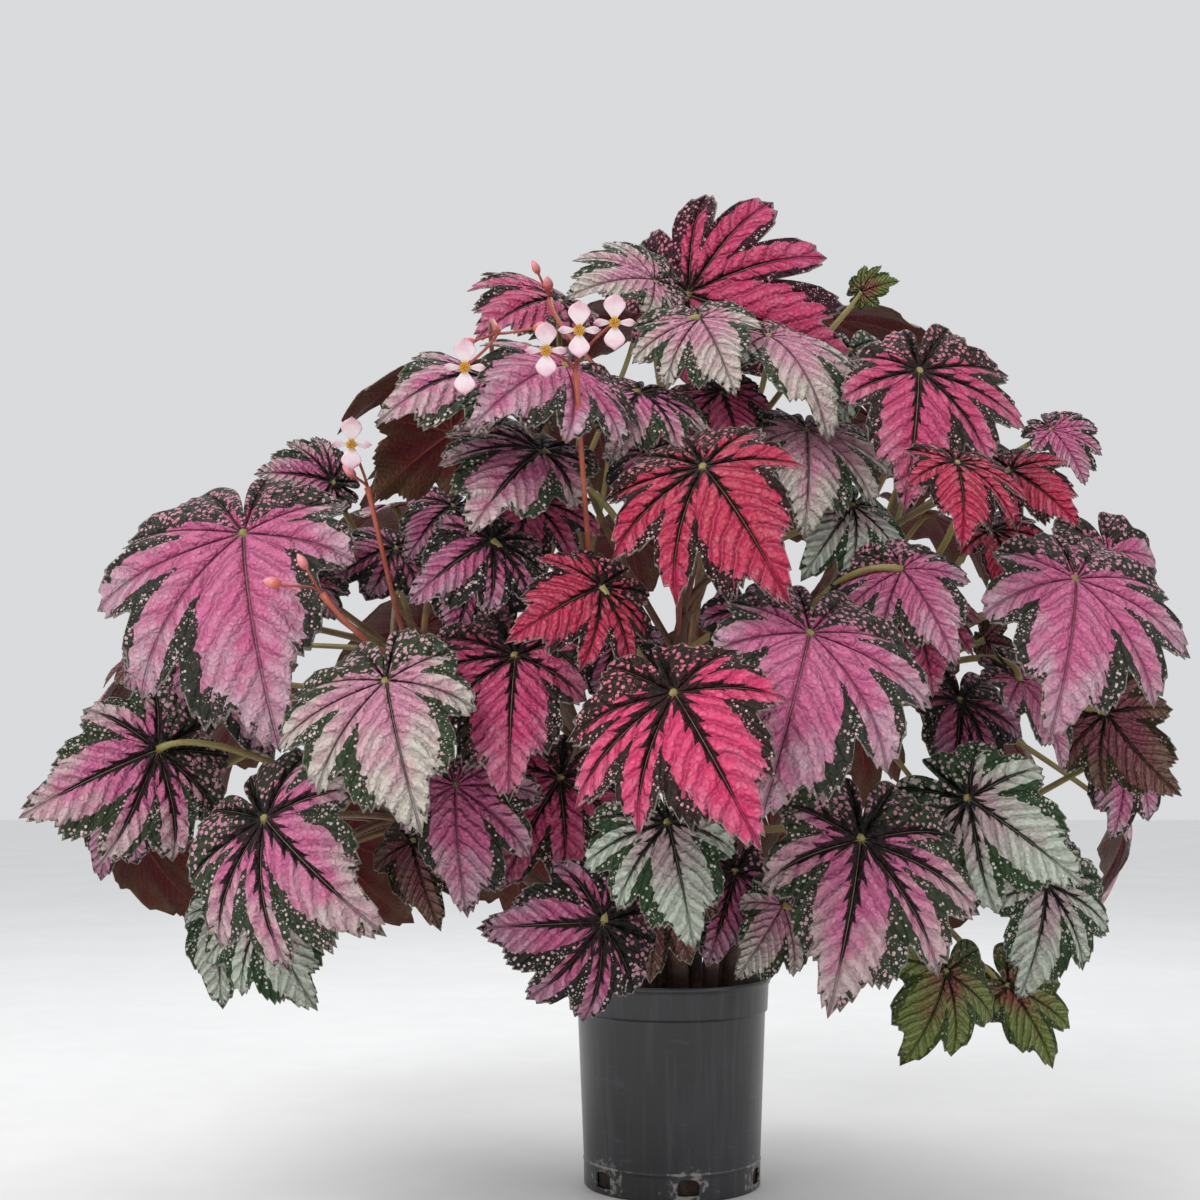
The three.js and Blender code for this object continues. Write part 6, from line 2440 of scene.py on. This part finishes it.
    def block_loop(self, run: Faces, first: int, last: int) -> Faces:
        """The border of a block: along its foot, up its side, back over its top and down again.

        Args:
            run: the numbers of the block's columns.
            first: the row of its foot.
            last: the row of its top.

        Returns:
            The numbers of the grid's points on it.
        """
        rows = np.arange(first, last, 1 if last > first else -1)
        foot = first * self.columns + run[:-1]
        right = rows * self.columns + run[-1]
        head = last * self.columns + run[:0:-1]
        left = rows[::-1] + (1 if last > first else -1)
        return np.concatenate([foot, right, head, left * self.columns + run[0]])

    def block_rings(
        self, grid: Array, loop: Faces, middle: float, start: int, flip: bool, rings: int = 4
    ) -> tuple[Array, Faces, Faces]:
        """The rings between a block's border and the edge of its hole.

        Args:
            grid: the grid's points.
            loop: the numbers of the border's points.
            middle: the bearing of the hole's middle.
            start: the number of the first new point.
            flip: whether the wall faces inwards.
            rings: how many rings there are.

        Returns:
            The new points, the quads, and the numbers of the points of the hole's edge.
        """
        border = grid[loop]
        radius = np.hypot(border[:, 0], border[:, 1])
        mean = float(radius.mean())
        bearing = np.arctan2(border[:, 1], border[:, 0]) - middle
        x = ((bearing + math.pi) % (2 * math.pi) - math.pi) * mean
        z = border[:, 2] - self.sill - self.hole_height / 2
        inward = self.hole_edge(x, z)
        share = (np.arange(1, rings + 1) / rings)[:, None]
        scale = 1 + (inward - 1) * share
        angle = x * scale / mean + middle
        level = z * scale + self.sill + self.hole_height / 2
        wide = radius + (level - border[:, 2]) * 0.02
        new = np.stack([wide * np.cos(angle), wide * np.sin(angle), level], axis=-1).reshape(-1, 3)
        count = len(loop)
        numbers = np.concatenate([loop, start + np.arange(rings * count)])
        quads = numbers[grid_quads(rings + 1, count, True).reshape(-1, 4)]
        return new, quads[:, ::-1] if flip else quads, numbers[-count:]

    def wear(self, places: Array) -> tuple[Array, Array, float]:
        """Where crust has dried, round the drain holes and in the groove, and where the rim is rubbed.

        Args:
            places: the points of the can.

        Returns:
            How much crust there is at each, how rubbed it is, and 0 for the third value that a point carries.
        """
        bearing = np.arctan2(places[:, 1], places[:, 0]) + math.pi / 2 - self.hole_turn
        pitch = 2 * math.pi / self.holes
        aside = (np.mod(bearing + pitch / 2, pitch) - pitch / 2) * self.foot
        arch = np.hypot(aside / 1.15, places[:, 2] - 10.0)
        groove = ease(1.2, 0.2, np.abs(places[:, 2] - self.groove - 1.0))
        crust = ease(30.0, 8.0, arch) * 0.62 + 0.45 * groove
        rubbed = ease(self.height - 4.5, self.height - 1.0, places[:, 2])
        return crust, rubbed, 0.0

    def build(self) -> None:
        """Builds the can."""
        self.shape().piece("can", [CanPlastic().made()], "pot", "pot_plastic")


@dataclass
class Mix:
    """The potting mix: a crumbly mound with chips of bark on it.

    Attributes:
        level: the level of its top.
        rise: how far its middle stands above that.
        edge: its radius at the wall.
        foot: its radius on the can's floor.
        floor: the level of its underside.
        rings: how many rings of points it has.
        columns: how many points a ring has.
        crumb: how high its lumps and its crumbs are.
        chips: how many chips of bark lie on it.
        strewn: the radius that they lie within.
        seed: what its draws start from.
    """

    level: float = 148.0
    rise: float = 3.0
    edge: float = 76.0
    foot: float = 71.0
    floor: float = 3.3
    rings: int = 50
    columns: int = 144
    crumb: float = 0.9
    chips: int = 240
    strewn: float = 70.0
    seed: int = 77

    def mound(self, radius: Array) -> Array:
        """The level of the mound at a radius, before its crumbs."""
        middle = self.rise * (1 - ease(10.0, 60.0, radius))
        return self.level + middle - 6.0 * ease(self.edge - 14, self.edge, radius)

    def ground(self) -> Shape:
        """Works out rings of points, lumpy by a few waves and crumbly by a seeded draw at each point.

        Returns:
            The mound.
        """
        draws = np.random.default_rng(self.seed)
        rings, columns = self.rings, self.columns
        radius = np.linspace(1.2, self.edge, rings)[:, None]
        turn = 2 * math.pi * np.arange(columns) / columns
        x, y = radius * np.cos(turn), radius * np.sin(turn)
        lumps = np.sin(x * 0.31 + 1.3 * np.sin(y * 0.2)) * np.cos(y * 0.27 + 0.9 * np.sin(x * 0.17))
        crumbs = draws.uniform(-self.crumb, self.crumb, x.shape) * (radius > 2)
        level = self.mound(radius) + self.crumb * lumps + crumbs - self.crumb
        top = np.stack([x, y, level], axis=-1).reshape(-1, 3)
        side = np.stack([np.cos(turn) * self.foot, np.sin(turn) * self.foot, 0 * turn + self.floor], axis=1)
        poles = np.array([[0, 0, level[0].mean()], [0, 0, self.floor]])
        around = np.arange(columns)
        beside = (around + 1) % columns
        last = rings * columns
        start = np.stack([around, beside, np.full(columns, last + columns)], axis=1)
        end = np.stack([beside + last, around + last, np.full(columns, last + columns + 1)], axis=1)
        quads = grid_quads(rings + 1, columns, True).reshape(-1, 4)[:, ::-1]
        shape = Shape(np.concatenate([top, side, poles]), quads, np.concatenate([start, end]))
        return shape.carrying("place", 0.0, 0.0, 0.0)

    def bark(self) -> Shape:
        """Strews flattened, uneven boxes about the mound.

        Returns:
            The chips.
        """
        draws = np.random.default_rng(self.seed + 1)
        count = self.chips
        radius = self.strewn * np.sqrt(draws.uniform(0.01, 1, count))
        turn = draws.uniform(0, 2 * math.pi, count)
        middle = np.stack([radius * np.cos(turn), radius * np.sin(turn), self.mound(radius) + 0.3], axis=1)
        long = unit(draws.normal(size=(count, 3)) * vec(1, 1, 0.25)) * draws.uniform(1.5, 5.0, (count, 1))
        wide = unit(np.cross(long, draws.normal(size=(count, 3)) * 0.3 + vec(0, 0, 1)))
        wide = wide * draws.uniform(0.8, 2.6, (count, 1))
        thick = unit(np.cross(long, wide)) * draws.uniform(0.4, 1.1, (count, 1))
        square = ((-1, -1), (1, -1), (1, 1), (-1, 1))
        signs = np.array([(x, y, z) for z in (-1, 1) for x, y in square], dtype=float)
        ragged = signs * draws.uniform(0.6, 1.0, (count, 8, 3))
        corners = middle[:, None] + np.einsum("nki,nij->nkj", ragged, np.stack([long, wide, thick], axis=1))
        sides = np.array([[0, 3, 2, 1], [4, 5, 6, 7], [0, 1, 5, 4], [1, 2, 6, 5], [2, 3, 7, 6], [3, 0, 4, 7]])
        faces = (np.arange(count)[:, None, None] * 8 + sides).reshape(-1, 4)
        shape = Shape(corners.reshape(-1, 3), faces, np.zeros((0, 3), dtype=np.int64))
        return shape.carrying("place", 0.0, 0.0, 0.0)

    def build(self) -> None:
        """Builds the mound and its chips."""
        dark = Speckled("potting_mix", shade(0x2B211B), shade(0x4B382B), 190.0, 0.9, 0.0012).made()
        bark = Speckled("bark", shade(0x5B4232), shade(0x8A6A50), 260.0, 0.8, 0.0006).made()
        self.ground().piece("potting_mix", [dark], "soil", "soil")
        self.bark().piece("bark_chips", [bark], "soil", "soil")


class Lamp(NamedTuple):
    """A soft square lamp: its name, its place in metres, its side and its power in watts."""

    name: str
    place: tuple[float, float, float]
    size: float
    power: float


LAMPS = (
    Lamp("key", (-1.4, -1.9, 2.3), 1.6, 46.0),
    Lamp("fill", (1.9, -1.3, 1.3), 1.8, 8.0),
    Lamp("crown", (0.2, 1.2, 2.4), 1.6, 14.0),
)


@dataclass
class Studio:
    """The camera, the pale floor and the soft light.

    Attributes:
        view: the view that the camera takes.
        sensor: the camera's sensor, in millimetres.
        target: what the lamps point at, in metres.
        sky: the sky's colour.
        sky_strength: how bright it is.
        floor_half: half the floor's side, in metres.
    """

    view: ReferenceView = ReferenceView()
    sensor: float = 36.0
    target: tuple[float, float, float] = (-0.05, 0.0, 0.4)
    sky: Colour = (0.97, 0.98, 1.0)
    sky_strength: float = 0.72
    floor_half: float = 12.0

    def build(self) -> None:
        """Sets up the camera first, then the light and the floor."""
        scene = bpy.context.scene
        lens = bpy.data.cameras.new("camera")
        lens.sensor_width = self.sensor
        lens.lens = self.sensor * self.view.focal / (2 * self.view.middle)
        lens.clip_end = 30.0
        camera = bpy.data.objects.new("camera", lens)
        camera.location = self.view.eye * METRES
        camera.rotation_euler = (math.pi / 2 + self.view.tip, 0.0, 0.0)
        scene.collection.objects.link(camera)
        scene.camera = camera
        scene.view_settings.view_transform = "Standard"
        world = bpy.data.worlds.new("soft_sky")
        world.use_nodes = True
        background = world.node_tree.nodes["Background"]
        background.inputs["Color"].default_value = (*self.sky, 1.0)
        background.inputs["Strength"].default_value = self.sky_strength
        scene.world = world
        for lamp in LAMPS:
            self.hang(lamp)
        self.floor()

    def hang(self, lamp: Lamp) -> None:
        """Hangs a lamp so that it points at the middle of the plant.

        Args:
            lamp: the lamp.
        """
        light = bpy.data.lights.new(lamp.name, "AREA")
        light.size = lamp.size
        light.energy = lamp.power
        thing = bpy.data.objects.new(lamp.name, light)
        thing.location = lamp.place
        way = unit(vec(*self.target) - vec(*lamp.place))
        thing.rotation_euler = (math.acos(-way[2]), 0.0, math.atan2(way[1], way[0]) - math.pi / 2)
        bpy.context.scene.collection.objects.link(thing)

    def floor(self) -> None:
        """Lays the pale floor, which isn't part of the object."""
        mesh = bpy.data.meshes.new("floor")
        half = self.floor_half
        corners = [(-half, -half, 0), (half, -half, 0), (half, half, 0), (-half, half, 0)]
        mesh.from_pydata(corners, [], [(0, 1, 2, 3)])
        paint = Speckled("floor_paint", (0.86, 0.86, 0.855), (0.89, 0.89, 0.885), 3.0, 0.7, 0.00005)
        mesh.materials.append(paint.made())
        thing = bpy.data.objects.new("floor", mesh)
        bpy.context.scene.collection.objects.link(thing)


def main() -> None:
    """Builds the scene round the frame."""
    logging.basicConfig(level=logging.INFO, format="%(name)s: %(message)s")
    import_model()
    given = set(bpy.data.meshes)
    Studio().build()
    stems = Growth().grow()
    Can().build()
    Mix().build()
    Foliage().build(stems)
    Bloom().build(stems)
    made = [mesh for mesh in bpy.data.meshes if mesh not in given]
    LOG.info("%d meshes, %d triangles", len(made), sum(len(m.loops) - 2 * len(m.polygons) for m in made))
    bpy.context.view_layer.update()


if __name__ == "__main__":
    main()
